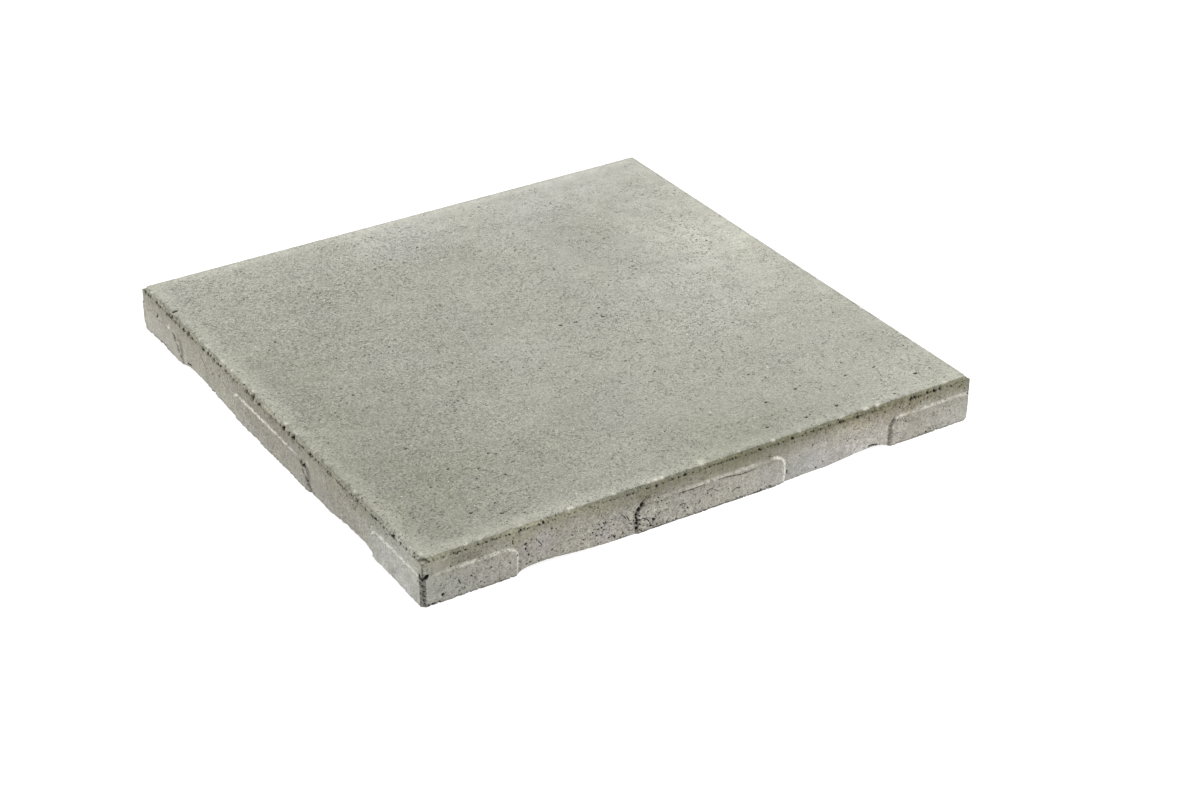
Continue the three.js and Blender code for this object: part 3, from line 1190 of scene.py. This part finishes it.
    def grained(
        self,
        sheet: NodeSheet,
        at: Socket,
        rough: Socket,
        broad: tuple[Socket, ...],
        patchy: tuple[Socket, ...],
        fine: tuple[Socket, ...],
    ) -> Socket:
        """Gives the faces their colours, with their patches, their painted light and shade, and their
        grain.

        Args:
            sheet: The material's nodes.
            at: Coordinates.
            rough: How coarse the grain is.
            broad: Three noises of the broadest grain.
            patchy: Three noises of a middling grain.
            fine: Three noises of the finest grain.

        Returns:
            The colour, without marks and pores.
        """
        broad_swing, fine_swing, sand_swing = 0.30, 0.86, 0.28
        patchy_swings, drag_swings = (0.42, 0.10), (0.22, 0.0)  # on the sides and on top
        across, back, up = sheet.node("ShaderNodeSeparateXYZ", {0: at}).outputs
        on_top = sheet.ramp(up, *self.top_zone)
        tone_and_light = sheet.node("ShaderNodeAttribute", attribute_name=CastSlab.TONE_AND_LIGHT).outputs["Color"]
        ground = self.zones(sheet, (across, back, up), on_top, patchy[0])
        tint = sheet.mix(sheet.ramp(broad[1], *NOISE_SPAN), self.cool, self.warm)
        ground = sheet.mix(1.0, ground, tint, "MULTIPLY")
        frayed = sheet.ramp(patchy[0], *NOISE_SPAN, low=0.7, high=1.3)
        # the patches' tint, with painted light and shade
        ground = sheet.mix(frayed, ground, sheet.mix(1.0, ground, tone_and_light, "MULTIPLY"))
        ground = sheet.vary(ground, broad[0], broad_swing)
        ground = sheet.vary(ground, patchy[0], sheet.mix_value(on_top, *patchy_swings))
        ground = sheet.vary(ground, fine[0], sheet.times(rough, fine_swing))
        ground = sheet.vary(ground, sheet.cells(at, self.sand)[1], sheet.times(rough, sand_swing))
        squeeze = Vector((1, 1, 0.08))  # of the coordinates, which draws the marks out upright
        upright = sheet.node("ShaderNodeVectorMath", {0: at, 1: squeeze}, operation="MULTIPLY").outputs[0]
        streaks = sheet.noises(upright, self.drag, detail=1, roughness=0.6)[0]
        return sheet.vary(ground, streaks, sheet.mix_value(on_top, *drag_swings))

    def zones(
        self, sheet: NodeSheet, place: tuple[Socket, Socket, Socket], on_top: Socket, ragged: Socket
    ) -> Socket:
        """Lays out the colours of the casting's faces.

        Args:
            sheet: The material's nodes.
            place: Place across, place back and height over the underside.
            on_top: 1 on the top face.
            ragged: Noise that frays the edge between two zones.

        Returns:
            The colour.
        """
        across, back, up = place
        back = sheet.math("ABSOLUTE", back)
        aside = sheet.math("ABSOLUTE", across)
        end_side = sheet.ramp(sheet.math("SUBTRACT", aside, back), -self.fray, self.fray)
        frayed = sheet.math("ADD", up, sheet.ramp(ragged, *NOISE_SPAN, -self.fray, self.fray))
        on_band = sheet.ramp(frayed, *self.band_zone)
        on_chamfer = sheet.ramp(up, *self.chamfer_zone)
        left = sheet.math("MAXIMUM", sheet.times(across, -1.0), back)
        clear_rim = sheet.ramp(left, *self.rim_zone)
        faint_rim = sheet.ramp(across, *self.rim_zone, 0.0, self.far_rim)
        on_rim = sheet.math("MAXIMUM", clear_rim, faint_rim)
        band = sheet.mix(end_side, self.band, self.end_band)
        chamfer = sheet.mix(end_side, self.chamfer, self.end_chamfer)
        side = sheet.mix(on_chamfer, sheet.mix(on_band, self.flank, band), chamfer)
        return sheet.mix(on_top, side, sheet.mix(on_rim, self.skin, self.rim))


@dataclass(frozen=True)
class FloorFinish:
    """Matt white floor of a lit table.

    Attributes:
        name: The material's name.
        colour: Its colour.
        glow: Strength of the light that comes through it.
    """

    name: str = "studio_floor"
    colour: Colour = (0.35, 0.35, 0.35, 1)
    glow: float = 0.80

    def material(self) -> bpy.types.Material:
        """Builds the material.

        Returns:
            The floor's white.
        """
        made = bpy.data.materials.new(self.name)
        NodeSheet(made).surface({
            "Base Color": self.colour,
            "Roughness": 0.9,
            "Emission Color": WHITE,
            "Emission Strength": self.glow,
        })
        return made


@dataclass(frozen=True)
class Weathering:
    """How the mould and the handling have marked the casting's faces and worn its edges, and where light
    and shade are painted on them.

    In the tables, places and radii are in millimetres. A row of a profile is a place along a side,
    or across the top, and the value there. Four values in a row are for the front, right, back and
    left.

    Attributes:
        shape: Sizes of the casting.
        foot_wear: How deep the bottom edge of each side has worn: a profile in units of its arris.
        rubs: How much light cement is rubbed up on the pads' upper shoulders, with painted highlight: a
            profile of each side.
        rub_and_highlight_strengths: How light that cement and highlight are on each side.
        rub_and_highlight_reaches: How far they reach to either hand of a shoulder's middle line on each
            side.
        tears_and_shade: How dark the torn ends of each side's middle pad and corner pads are, with painted
            shade, since these ends turn away from the lights.
        coarse: How coarse the grain of each side is, beside that of the top.
        chamfer_coarse: How much coarser than its side the chamfer is.
        chamfer_lap: How far under the chamfer its coarse grain reaches.
        rough_spots: Spots of each side with rougher grain: middle along and up, radius, and how much
            rougher.
        dark_foot: Start and end of the darkest stretch of the front's bottom edge.
        foot_stains: How dark that edge is off that stretch and on it.
        far_corner_shades: Strength of the painted shade at the other corners, beside the near one's.
        rims: How much lighter the rim of the top is along each side, as painted highlight, or where less
            than 0 how
        much darker: a profile of each side.
            darker: a profile of each side.
        rim_lines: How dark the edge of the top is along each side.
        skin_grain: How coarse the grain of the top is: a profile from left to right.
        grain: Depth of the grain of the sides.
    """

    shape: CastingShape = field(default_factory=CastingShape)
    foot_wear: Marks = tables(
        Side,
        front=(
            (-250, 0.1), (-178, 0.0), (-172, 0.5), (-167, 1.2), (-162, 0.6), (-157, 0.0), (-75, 0.0),
            (-62, 0.15), (-56, 0.3), (-24, 0.2), (-13, 0.0), (4, 0.1), (9, 0.45), (20, 0.1), (58, 0.0),
            (65, 0.6), (76, 0.35), (85, 0.7), (99, 0.5), (106, 0.0), (160, 0.0), (225, 0.15), (243, 0.4),
            (250, 1.2),
        ),
        right=((-250, 1.2), (-243, 0.5), (-230, 0.3), (-60, 0.8), (90, 0.3), (250, 0.6)),
        back=((-250, 0.6), (-100, 0.3), (40, 0.9), (235, 0.8), (250, 1.4)),
        left=(
            (-250, 0.5), (-231, 1.3), (-223, 1.5), (-206, 2.2), (-198, 1.2), (-189, 0.95), (-181, 1.1),
            (-172, 1.3), (-165, 0), (-157, 0), (-147, 0.8), (-131, 1.1), (-116, 1.4), (-108, 2.2),
            (-100, 1.55), (-77, 1.05), (-55, 1.3), (-40, 1), (-25, 1.8), (-11, 0.85), (4, 1.3), (46, 1.15),
            (60, 0.8), (67, 1.2), (74, 0.7), (81, 1.1), (101, 0.45), (115, 0.9), (122, 1.05), (128, 1.6),
            (135, 0.7), (154, 0.7), (161, 0.8), (167, 0.9), (173, 1), (179, 0.5), (185, 1), (198, 0.6),
            (204, 0.9), (216, 0.45), (228, 0.15), (234, 0), (250, 0),
        ),
    )
    rubs: Marks = tables(
        Side,
        front=(
            (-240, 0.05), (-236, 0.35), (-222, 0.45), (-219, 0.75), (-182, 0.8), (-179, 1.0), (-100, 0.9),
            (-69, 0.0), (-50, 0.2), (-21, 0.25), (-18, 0.55), (38, 0.55), (40, 0.2), (54, 0.2), (57, 0.95),
            (110, 0.95), (171, 0.0), (175, 0.8), (177, 1.0), (180, 0.7), (183, 0.9), (186, 0.4), (194, 0.4),
            (199, 0.65), (224, 0.6), (231, 0.4), (245, 0.7), (250, 0.5),
        ),
        right=(
            (-250, 0.3), (-235, 0.8), (-190, 0.9), (-182, 0.3), (-69, 0.1), (0, 0.3), (8, 0.8), (60, 0.8),
            (110, 0.5), (185, 0.3), (200, 0.6), (250, 0.4),
        ),
        back=(
            (-250, 0.4), (-205, 0.3), (-195, 0.7), (-171, 0.2), (-60, 0.8), (-10, 0.9), (10, 0.4),
            (69, 0.2), (180, 0.7), (195, 0.3), (215, 0.8), (250, 0.6),
        ),
        left=(
            (-250, 0.1), (-197, 0.05), (-193, 0.7), (-189, 0.05), (-69, 0.0), (-64, 0.5), (-52, 0.6),
            (-49, 0.9), (-34, 1.0), (-4, 1.0), (0, 0.6), (34, 0.55), (44, 0.35), (56, 0.1), (110, 0.0),
            (167, 0.6), (181, 0.75), (185, 1.1), (191, 1.3), (198, 1.2), (201, 0.7), (204, 1.1), (213, 1.1),
            (216, 0.4), (221, 0.95), (228, 0.95), (231, 0.5), (241, 0.6), (247, 0.0),
        ),
    )
    rub_and_highlight_strengths: tuple[float, ...] = (0.72, 0.72, 0.72, 1.5)
    rub_and_highlight_reaches: tuple[float, ...] = (1.3 * MM, 1.3 * MM, 1.3 * MM, 0.95 * MM)
    tears_and_shade: dict[Side, tuple[float, float]] = tables(
        Side, front=(0.6, 1.1), right=(0.7, 0.5), back=(0.5, 0.8), left=(0.5, 0.5)
    )
    coarse: tuple[float, ...] = (0.95, 1.0, 1.0, 0.85)
    chamfer_coarse: float = 0.45
    chamfer_lap: float = 1 * MM
    rough_spots: Marks = tables(
        Side,
        front=(
            (-95, 12, 60, 0.6), (-45, 8, 40, 0.6), (30, 5, 40, 0.4), (-200, 10, 40, 0.1),
            (160, 34, 75, 0.5),
        ),
        right=((-110, 10, 55, 0.7), (40, 8, 60, 0.5), (180, 12, 40, 0.4)),
        back=((120, 12, 55, 0.8), (-40, 8, 50, 0.5)),
        left=((130, 28, 40, 0.5), (0, 10, 60, 0.15), (-60, 34, 130, 0.5), (200, 34, 50, 0.4)),
    )
    dark_foot: tuple[float, float] = (-66 * MM, 60 * MM)
    foot_stains: tuple[float, float] = (0.5, 1.3)
    far_corner_shades: float = 0.5
    rims: Marks = tables(
        Side,
        front=(
            (-250, 0.3), (-232, 0.2), (-208, 0.17), (-160, 0.22), (-120, 0.22), (-80, 0.12), (-30, 0.07),
            (0, 0.02), (50, -0.25), (190, -0.25), (215, 0), (250, 0),
        ),
        right=((-250, 0), (250, 0)),
        back=((-250, 0.05), (-90, 0.09), (-10, 0.15), (230, 0.15), (250, 0)),
        left=(
            (-250, -0.25), (-150, -0.3), (-115, 0), (-95, 0.15), (10, 0.17), (30, 0.02), (110, 0),
            (150, 0.1), (180, 0.16), (215, 0.22), (250, 0.25),
        ),
    )
    rim_lines: tuple[float, ...] = (0, 0.35, 0.4, 0)
    skin_grain: Table = ((-250, 1.5), (-120, 1.38), (0, 1.08), (250, 0.98))
    grain: float = 0.1 * MM

    def read(self, cast: bmesh.types.BMesh) -> np.ndarray:
        """Finds where the concrete is rubbed light or lit by painted highlight, where it is stained or torn
        dark or painted with shade, and where it is rough, before it is worn.

        Args:
            cast: The refined mesh.

        Returns:
            Three rows with a value for each vertex: how rubbed and lit it is and how dark with stains and
                painted shade, from
            0 to 1, and how coarse its grain.
        """
        found = np.zeros((3, len(cast.verts)), np.float32)
        for number, vert in enumerate(cast.verts):
            spot = Spot.of(vert.co)
            if spot.up > self.shape.height - NEAR:
                found[:, number] = self.on_top(spot, vert.co)
            else:
                found[:, number] = self.on_side(spot)
        found[:2] = np.clip(found[:2], 0, 1)
        return found

    def on_top(self, spot: Spot, point: Vector) -> tuple[float, float, float]:
        """Finds how the top face is rubbed and lit by painted highlight, how dark and how coarse at a
        point.

        Args:
            spot: The point, read on the nearest side.
            point: The point in the slab's frame.

        Returns:
            How rubbed and lit, how dark and how coarse it is.
        """
        chip_swing, chip_floor, chip_reach, rim_reach, line_reach = 2.2, 0.45, 2.6 * MM, 20 * MM, 3 * MM
        smooth_rim, smooth_end, less_on_rim = 4 * MM, 14 * MM, 0.2
        far_corner, far_start, less_far_off = 300 * MM, 0.4, 0.4
        side, along, out, _ = spot
        rim = self.shape.half - self.shape.chamfer - out
        share = read_off(self.rims[side], along)
        chips = max(0.0, chip_swing * side.ripple(Ripple.RIM_CHIPS, along) - chip_floor)
        # painted highlight along the top's edge, with light chips
        rub = chips * nearness(rim, chip_reach) + max(0.0, share) * nearness(rim, rim_reach)
        stain_and_shade = max(self.rim_lines[side.value], -share) * nearness(rim, line_reach)
        inner = 1 - less_on_rim + less_on_rim * held((rim - smooth_rim) / smooth_end)
        far = 1 - less_far_off * held((point.x + point.y) / far_corner - far_start)
        return rub, stain_and_shade, read_off(self.skin_grain, point.x) * inner * far

    def on_side(self, spot: Spot) -> tuple[float, float, float]:
        """Finds how an upright side is rubbed and lit by painted highlight, how dark with stains and
        painted shade, and how coarse at a point.

        Args:
            spot: The point.

        Returns:
            How rubbed and lit, how dark and how coarse it is.
        """
        squash = 1.5  # how many times as far a rough spot reaches along as upright
        blotch_height, lowest_mark = 40 * MM, 1.5 * MM
        side, along, _, up = spot
        rough = self.coarse[side.value]
        if up > self.shape.chamfer_foot - self.chamfer_lap:
            rough += self.chamfer_coarse
        for middle, height, radius, more in self.rough_spots[side]:
            gap = math.hypot(along / MM - middle, squash * (up / MM - height)) / radius
            rough += more * max(0.0, 1 - gap**2)
        blotch = 0.5 + 0.5 * side.ripple(Ripple.BLOTCHES, along, up / blotch_height)
        rub, stain_and_shade = 0.0, self.corner_shade(spot, blotch)
        if not stain_and_shade and up > lowest_mark:
            rub, stain_and_shade = self.on_shoulder(spot, blotch)
        return rub, max(stain_and_shade, self.under_pads(spot)), rough

    def under_pads(self, spot: Spot) -> float:
        """Finds how dark the crumbled bottom edge of the front's pads is at a point.

        Args:
            spot: The point.

        Returns:
            How dark it is, or 0 off that edge.
        """
        full_height = 1 * MM  # up to which it is at its darkest
        side, along, _, up = spot
        if side is not Side.FRONT or up >= 2 * full_height or self.shape.in_gap(along):
            return 0.0
        start, end = self.dark_foot
        strength = self.foot_stains[start < along < end]
        crumbs = 1 + side.ripple(Ripple.FOOT_CRUMBS, along)
        return strength * crumbs * min(1.0, 2 - up / full_height)

    def corner_shade(self, spot: Spot, blotch: float) -> float:
        """Finds how dark a point near a corner is painted: painted shadow in the notch of the chamfer, and
        painted shade along the corner over the pads and on the mottled upright flat, strongest at the near
        corner.

        Args:
            spot: The point.
            blotch: Noise from 0 to 1 that darkens some stretches.

        Returns:
            How dark it is, or 0 away from the notch, the corner and the flat.
        """
        lap, corner_line_width, notch_height, notch_boost = 0.2 * MM, 1.1 * MM, 2.4 * MM, 1.5
        corner_line_least, corner_line_blotch = 0.6, 0.7
        flat_least, flat_blotch, flat_speckle = 0.8, 0.3, 0.5
        grain, grain_height = 2 * MM, 3 * MM
        shape = self.shape
        side, along, out, up = spot
        corner = 2 * shape.half - abs(along) - out
        is_near = along < 0 if side is Side.FRONT else side is Side.LEFT and along > 0
        strength = 1.0 if is_near else self.far_corner_shades
        # painted shadow in the notch of the chamfer
        if up > shape.chamfer_foot + NEAR:
            above = nearness(up - shape.chamfer_foot, notch_height)
            return strength * min(1.0, notch_boost * above) if corner < shape.notch_leg + lap else 0.0
        # painted shade along the corner over the pads
        if up > shape.pad_height and corner < corner_line_width:
            return strength * (corner_line_least + corner_line_blotch * blotch)
        # painted shade on the upright flat, mottled
        if up < shape.pad_height and corner + 2 * shape.proud < shape.flat_leg + lap:
            speckle = noise.noise(Vector((along / grain, out / grain, up / grain_height)))
            return strength * (flat_least + flat_blotch * blotch + flat_speckle * speckle)
        return 0.0

    def on_shoulder(self, spot: Spot, blotch: float) -> tuple[float, float]:
        """Finds how a pad's shoulder, or the face under it, is rubbed and lit and how dark at a point:
        painted highlight lies along the shoulders, painted shade on the ends that turn away from the
        lights, and a painted shadow under the top shoulder.

        Args:
            spot: The point.
            blotch: Noise from 0 to 1 that darkens some stretches.

        Returns:
            How rubbed and lit and how dark it is.
        """
        fade, torn_shade_reach, torn_shade_shift = 0.8 * MM, 1.6 * MM, 0.9 * MM
        torn_shade_least, torn_shade_blotch = 0.45, 0.5
        rub_and_highlight_stray, rub_and_highlight_crumbs, shoulder_shadow_reach, shoulder_shadow = 0.5 * MM, 0.9, 5 * MM, 0.16
        upright, level = 0.6, 0.9  # how far round a shoulder's corner its end stops and its top starts
        side, along, _, up = spot
        gap, turned = self.shape.shoulder(along, up)
        on_corner_pad = abs(along) > 0.5 * self.shape.half
        torn_shade = held((torn_shade_reach - abs(gap - (torn_shade_shift if on_corner_pad else 0.0))) / fade)
        outward = (1 if along > 0 else -1) * (-1 if on_corner_pad else 1)
        # painted shade at the foot of the pad ends that turn away from the lights, over their torn ends
        if torn_shade > 0 and turned < upright and outward == side.torn_hand:
            return 0.0, self.tears_and_shade[side][on_corner_pad] * (torn_shade_least + torn_shade_blotch * blotch) * torn_shade
        # painted highlight, with rubbed cement, along the pads' shoulders
        wobble = rub_and_highlight_stray * side.ripple(Ripple.RUB_STRAY, along)
        line = held((self.rub_and_highlight_reaches[side.value] - abs(gap - wobble)) / fade)
        if line > 0:
            crumbs = 1 + rub_and_highlight_crumbs * side.ripple(Ripple.RUB_CRUMBS, along)
            rubbed = read_off(self.rubs[side], along) * crumbs
            return self.rub_and_highlight_strengths[side.value] * rubbed * line, 0.0
        # painted shadow just under the pad's top shoulder
        if -shoulder_shadow_reach < gap < 0 and turned > level:
            return 0.0, shoulder_shadow * max(0.0, side.ripple(Ripple.SMEARS, along))
        return 0.0, 0.0

    def wear(self, cast: bmesh.types.BMesh, arrises: list[tuple[Vector, Arris]]) -> None:
        """Rounds and crumbles the edges and roughens the sides.

        Args:
            cast: The refined mesh.
            arrises: Points on the edges of the casting.
        """
        crumb, lump, nick, coarse_grain = 5 * MM, 15 * MM, 3.5 * MM, 3 * MM
        foot_least, foot_crumble, foot_lumps = 0.55, 0.9, 0.25
        spread, nick_depth, nick_floor, least_depth = 1.8, 0.7 * MM, 0.1, 0.05 * MM
        fall, step = 0.8, 2.1  # of a fractal noise from octave to octave, in strength and in grain
        tree = tree_of([point for point, _ in arrises])
        cast.normal_update()
        moves = []
        for vert in cast.verts:
            _, number, gap = tree.find(vert.co)
            point, kind = arrises[number]
            depth, width = kind.depth, kind.width
            crumble = 0.5 + 0.5 * noise.fractal(vert.co / crumb, fall, step, 3)
            if kind is Arris.FOOT:
                spot = Spot.of(point)
                depth *= read_off(self.foot_wear[spot.side], spot.along)
                width += spread * depth
                crumble = foot_least + foot_crumble * crumble + foot_lumps * noise.noise(vert.co / lump)
                depth += nick_depth * max(0.0, noise.noise(vert.co / nick) - nick_floor)
                depth += least_depth
            inward = depth * max(0.0, crumble) * math.exp(-((gap / width) ** 2))
            if vert.co.z < self.shape.height - NEAR:
                inward += self.grain * (1 + noise.fractal(vert.co / coarse_grain, fall, step, 2))
            moves.append(vert.normal * -max(0.0, inward))
        for vert, move in zip(cast.verts, moves):
            vert.co += move


@dataclass
class CastSlab:
    """The slab: one casting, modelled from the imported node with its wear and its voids.

    Attributes:
        first_cell: Spacing of the first cuts across the faces.
        least_cell: Smallest cell in a void.
        growth: How fast the cells grow away from the edges.
        void_growth: How fast they grow away from the voids.
        side_cell: Largest cell on an upright side.
        top_cell: Largest cell on the top face.
        under_cell: Largest cell on the underside.
        passes: How often the cells are halved at most.
        slack: How many times too long an edge may be before it is halved.
        sharp: Angle over which an edge of the node is an arris.
        spacing: Distance between points on an arris.
        shape: Sizes of the casting.
        weathering: The marks and the wear.
        voids: The plan of the voids.
        finish: The concrete.
    """

    # marks by vertex: depth in a void, rubbed cement with painted highlight, stains with painted shade, and
    # coarseness
    MARKS: ClassVar[tuple[str, ...]] = ("void", "rub", "stain_and_shade", "rough")
    # tint of the patches by vertex, with painted light and shade
    TONE_AND_LIGHT: ClassVar[str] = "tone_and_light"

    first_cell: float = 16 * MM
    least_cell: float = 0.4 * MM
    growth: float = 0.55
    void_growth: float = 0.7
    side_cell: float = 3.6 * MM
    top_cell: float = 10 * MM
    under_cell: float = 20 * MM
    passes: int = 7
    slack: float = 1.42
    sharp: float = math.radians(20)
    spacing: float = 0.6 * MM
    shape: CastingShape = field(default_factory=CastingShape)
    weathering: Weathering = field(default_factory=Weathering)
    voids: VoidPlan = field(default_factory=VoidPlan)
    finish: ConcreteFinish = field(default_factory=ConcreteFinish)

    def build(self) -> bpy.types.Object:
        """Builds the casting and dresses it.

        Returns:
            The piece.
        """
        merge_gap, flat_angle = 0.01 * MM, math.radians(0.3)
        lowest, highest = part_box(CAD_NODE)
        voids = self.voids.all()
        cast = bmesh.new()
        cast.from_mesh(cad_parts[CAD_NODE].data)
        bmesh.ops.remove_doubles(cast, verts=cast.verts, dist=merge_gap)
        bmesh.ops.dissolve_limit(cast, angle_limit=flat_angle, verts=cast.verts, edges=cast.edges)
        arrises = self.arris_points(cast)
        self.cut_cells(cast, lowest, highest)
        self.refine(cast, arrises, voids)
        bmesh.ops.recalc_face_normals(cast, faces=cast.faces)
        points = np.array([vert.co for vert in cast.verts])
        marks = self.weathering.read(cast)
        self.weathering.wear(cast, arrises)
        depth = self.sink(cast, voids)
        mesh = mesh_of("cast_slab", cast, self.finish.material())
        for name, values in zip(self.MARKS, (depth, *marks)):
            mesh.attributes.new(name, "FLOAT", "POINT").data.foreach_set("value", values)
        tone_and_light = self.finish.tones_and_light(points, self.shape)
        mesh.attributes.new(self.TONE_AND_LIGHT, "FLOAT_COLOR", "POINT").data.foreach_set("color", tone_and_light.ravel())
        mesh.shade_smooth()
        piece = set_out("cast_slab", mesh)
        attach(piece, CAD_BODY)
        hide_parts(CAD_NODE)
        return piece

    def arris_points(self, cast: bmesh.types.BMesh) -> list[tuple[Vector, Arris]]:
        """Walks along the sharp edges of the node.

        Args:
            cast: The node's merged mesh.

        Returns:
            Points on the edges, each with the kind of its edge.
        """
        found = []
        for edge in cast.edges:
            if edge.calc_face_angle(0) < self.sharp:
                continue
            start, end = (vert.co.copy() for vert in edge.verts)
            steps = max(1, round((end - start).length / self.spacing))
            for step in range(steps + 1):
                point = start.lerp(end, step / steps)
                found.append((point, self.shape.kind(point)))
        return found

    def cut_cells(self, cast: bmesh.types.BMesh, lowest: Vector, highest: Vector) -> None:
        """Cuts every face into square cells by planes across the slab.

        Args:
            cast: The mesh to cut.
            lowest: Lowest corner of the slab.
            highest: Highest corner of the slab.
        """
        snap = 0.02 * MM
        for axis in range(3):
            normal = Vector((0, 0, 0))
            normal[axis] = 1
            place = lowest[axis] + self.first_cell / 2
            while place < highest[axis]:
                parts, point = [*cast.verts, *cast.edges, *cast.faces], normal * place
                bmesh.ops.bisect_plane(cast, geom=parts, dist=snap, plane_co=point, plane_no=normal)
                place += self.first_cell
        self.split_many_sided(cast)

    def split_many_sided(self, cast: bmesh.types.BMesh) -> None:
        """Splits the faces that have more than four sides into triangles."""
        bmesh.ops.triangulate(cast, faces=[face for face in cast.faces if len(face.verts) > 4])

    def largest_cell(self, height: float) -> float:
        """Gives the largest cell that a face may have at a height.

        Args:
            height: Height over the underside.

        Returns:
            The size of the cell.
        """
        if height < NEAR:
            return self.under_cell
        return self.top_cell if height > self.shape.height - NEAR else self.side_cell

    def refine(
        self, cast: bmesh.types.BMesh, arrises: list[tuple[Vector, Arris]], voids: list[Void]
    ) -> None:
        """Halves the cells until each is as small as its place asks.

        Args:
            cast: The mesh to refine.
            arrises: Points on the edges of the casting.
            voids: The voids to come.
        """
        edge_tree = tree_of([point for point, _ in arrises])
        void_tree = tree_of([void.centre for void in voids])
        for _ in range(self.passes):
            long_edges = []
            for edge in cast.edges:
                middle = (edge.verts[0].co + edge.verts[1].co) / 2
                _, number, gap = edge_tree.find(middle)
                wanted = min(self.largest_cell(middle.z), arrises[number][1].cell + self.growth * gap)
                _, number, gap = void_tree.find(middle)
                radius = voids[number].radius
                in_void = max(self.least_cell, 0.5 * radius)
                wanted = min(wanted, in_void + self.void_growth * max(0.0, gap - radius))
                if edge.calc_length() > self.slack * wanted:
                    long_edges.append(edge)
            if not long_edges:
                return
            bmesh.ops.subdivide_edges(cast, edges=long_edges, cuts=1, use_grid_fill=True)
            self.split_many_sided(cast)
            LOG.info("refined to %d faces", len(cast.faces))

    def sink(self, cast: bmesh.types.BMesh, voids: list[Void]) -> np.ndarray:
        """Sinks the voids into the surface.

        Args:
            cast: The refined mesh.
            voids: The voids.

        Returns:
            For each vertex, how deep in a void it lies, from 0 to 1.
        """
        reach, fray, fray_length = 1.3, 0.35, 0.9 * MM
        cast.verts.ensure_lookup_table()
        tree = tree_of([vert.co for vert in cast.verts])
        depth = np.zeros(len(cast.verts), np.float32)
        for void in voids:
            for _, number, gap in tree.find_range(void.centre, reach * void.radius):
                frayed = 1 + fray * noise.noise(cast.verts[number].co / fray_length)
                share = min(1.0, gap * frayed / void.radius)
                fall = (1 - share**2) ** 0.5
                cast.verts[number].co += void.inward * (void.depth * fall)
                depth[number] = max(depth[number], fall)
        return depth


@dataclass(frozen=True)
class Panel:
    """A soft square light that hangs round the slab and points at it.

    Attributes:
        name: The light's name.
        azimuth: Direction round the slab, in degrees, with 0 in front and plus to the right.
        elevation: Height over the horizon, in degrees.
        size: Side of the panel.
        power: Watts.
        distance: From the slab.
    """

    name: str
    azimuth: float
    elevation: float
    size: float
    power: float
    distance: float = 2.0


@dataclass
class Studio:
    """A white floor and soft light from both sides, from behind and from above.

    Attributes:
        floor_side: Side of the square floor.
        floor_drop: How far the floor lies below the slab.
        surround: Strength of the even light from all round.
        panels: The lights.
        finish: The floor's material.
    """

    floor_side: float = 12.0
    floor_drop: float = 0.05 * MM
    surround: float = 0.02
    panels: tuple[Panel, ...] = (
        Panel("right_panel", 75, 30, 1.5, 52),
        Panel("left_back_panel", -150, 24, 1.4, 42),
        Panel("left_panel", -60, 24, 1.2, 12),
        Panel("front_right_panel", 30, 24, 1.2, 11),
        Panel("overhead_panel", 0, 89, 1.2, 10),
    )
    finish: FloorFinish = field(default_factory=FloorFinish)

    def build(self) -> bpy.types.Object:
        """Builds the floor and the lights.

        Returns:
            The floor.
        """
        outline = bmesh.new()
        bmesh.ops.create_grid(outline, x_segments=1, y_segments=1, size=self.floor_side / 2)
        floor = set_out("floor", mesh_of("floor", outline, self.finish.material()))
        floor.location.z = -self.floor_drop
        world = bpy.data.worlds.new("surround")
        world.use_nodes = True
        background = world.node_tree.nodes["Background"]
        background.inputs["Color"].default_value = WHITE
        background.inputs["Strength"].default_value = self.surround
        bpy.context.scene.world = world
        for panel in self.panels:
            self.hang(panel)
        return floor

    def hang(self, panel: Panel) -> None:
        """Hangs one panel.

        Args:
            panel: The panel.
        """
        data = bpy.data.lights.new(panel.name, "AREA")
        data.shape = "SQUARE"
        data.size = panel.size
        data.energy = panel.power
        lamp = set_out(panel.name, data)
        outward = bearing(panel.azimuth, panel.elevation)
        lamp.location = outward * panel.distance
        lamp.rotation_euler = outward.to_track_quat("Z", "Y").to_euler()


@dataclass
class ViewCamera:
    """The camera: to the left of the front and well above the slab, with a long lens.

    Attributes:
        azimuth: Direction round the slab, in degrees, with 0 in front and plus to the right.
        elevation: Height over the horizon, in degrees.
        roll: Lean of the camera, in degrees.
        distance: From the middle of the underside, measured along the line of sight.
        aside: How far the line of sight passes to the right of the middle of the underside.
        above: How far it passes above it.
        lens: Focal length, in millimetres.
        sensor: Width of the picture on the sensor, in millimetres.
    """

    azimuth: float = -31.990
    elevation: float = 30.109
    roll: float = -0.137
    distance: float = 2.09630
    aside: float = 0.04745
    above: float = -0.02335
    lens: float = 75.610
    sensor: float = 36.0

    def build(self) -> bpy.types.Object:
        """Builds the camera and makes it the scene's.

        Returns:
            The camera.
        """
        back = bearing(self.azimuth, self.elevation)
        level = Vector((0, 0, 1)).cross(back).normalized()
        right = Matrix.Rotation(math.radians(self.roll), 3, back) @ level
        up = back.cross(right)
        data = bpy.data.cameras.new("view_camera")
        data.lens = self.lens
        data.sensor_width = self.sensor
        camera = set_out("view_camera", data)
        place = Matrix.Translation(back * self.distance + right * self.aside + up * self.above)
        camera.matrix_world = place @ Matrix((right, up, back)).transposed().to_4x4()
        bpy.context.scene.camera = camera
        return camera


def main() -> None:
    """Builds the slab, the studio and the camera in order, and reports each."""
    logging.basicConfig(level=logging.INFO, format="%(name)s: %(message)s")
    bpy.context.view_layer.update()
    bpy.context.scene.view_settings.view_transform = "Standard"
    slab = CastSlab().build()
    LOG.info("%s: %d faces", slab.name, len(slab.data.polygons))
    LOG.info("%s: %.1f m square", Studio().build().name, Studio.floor_side)
    LOG.info("%s: ready", ViewCamera().build().name)


if __name__ == "__main__":
    main()
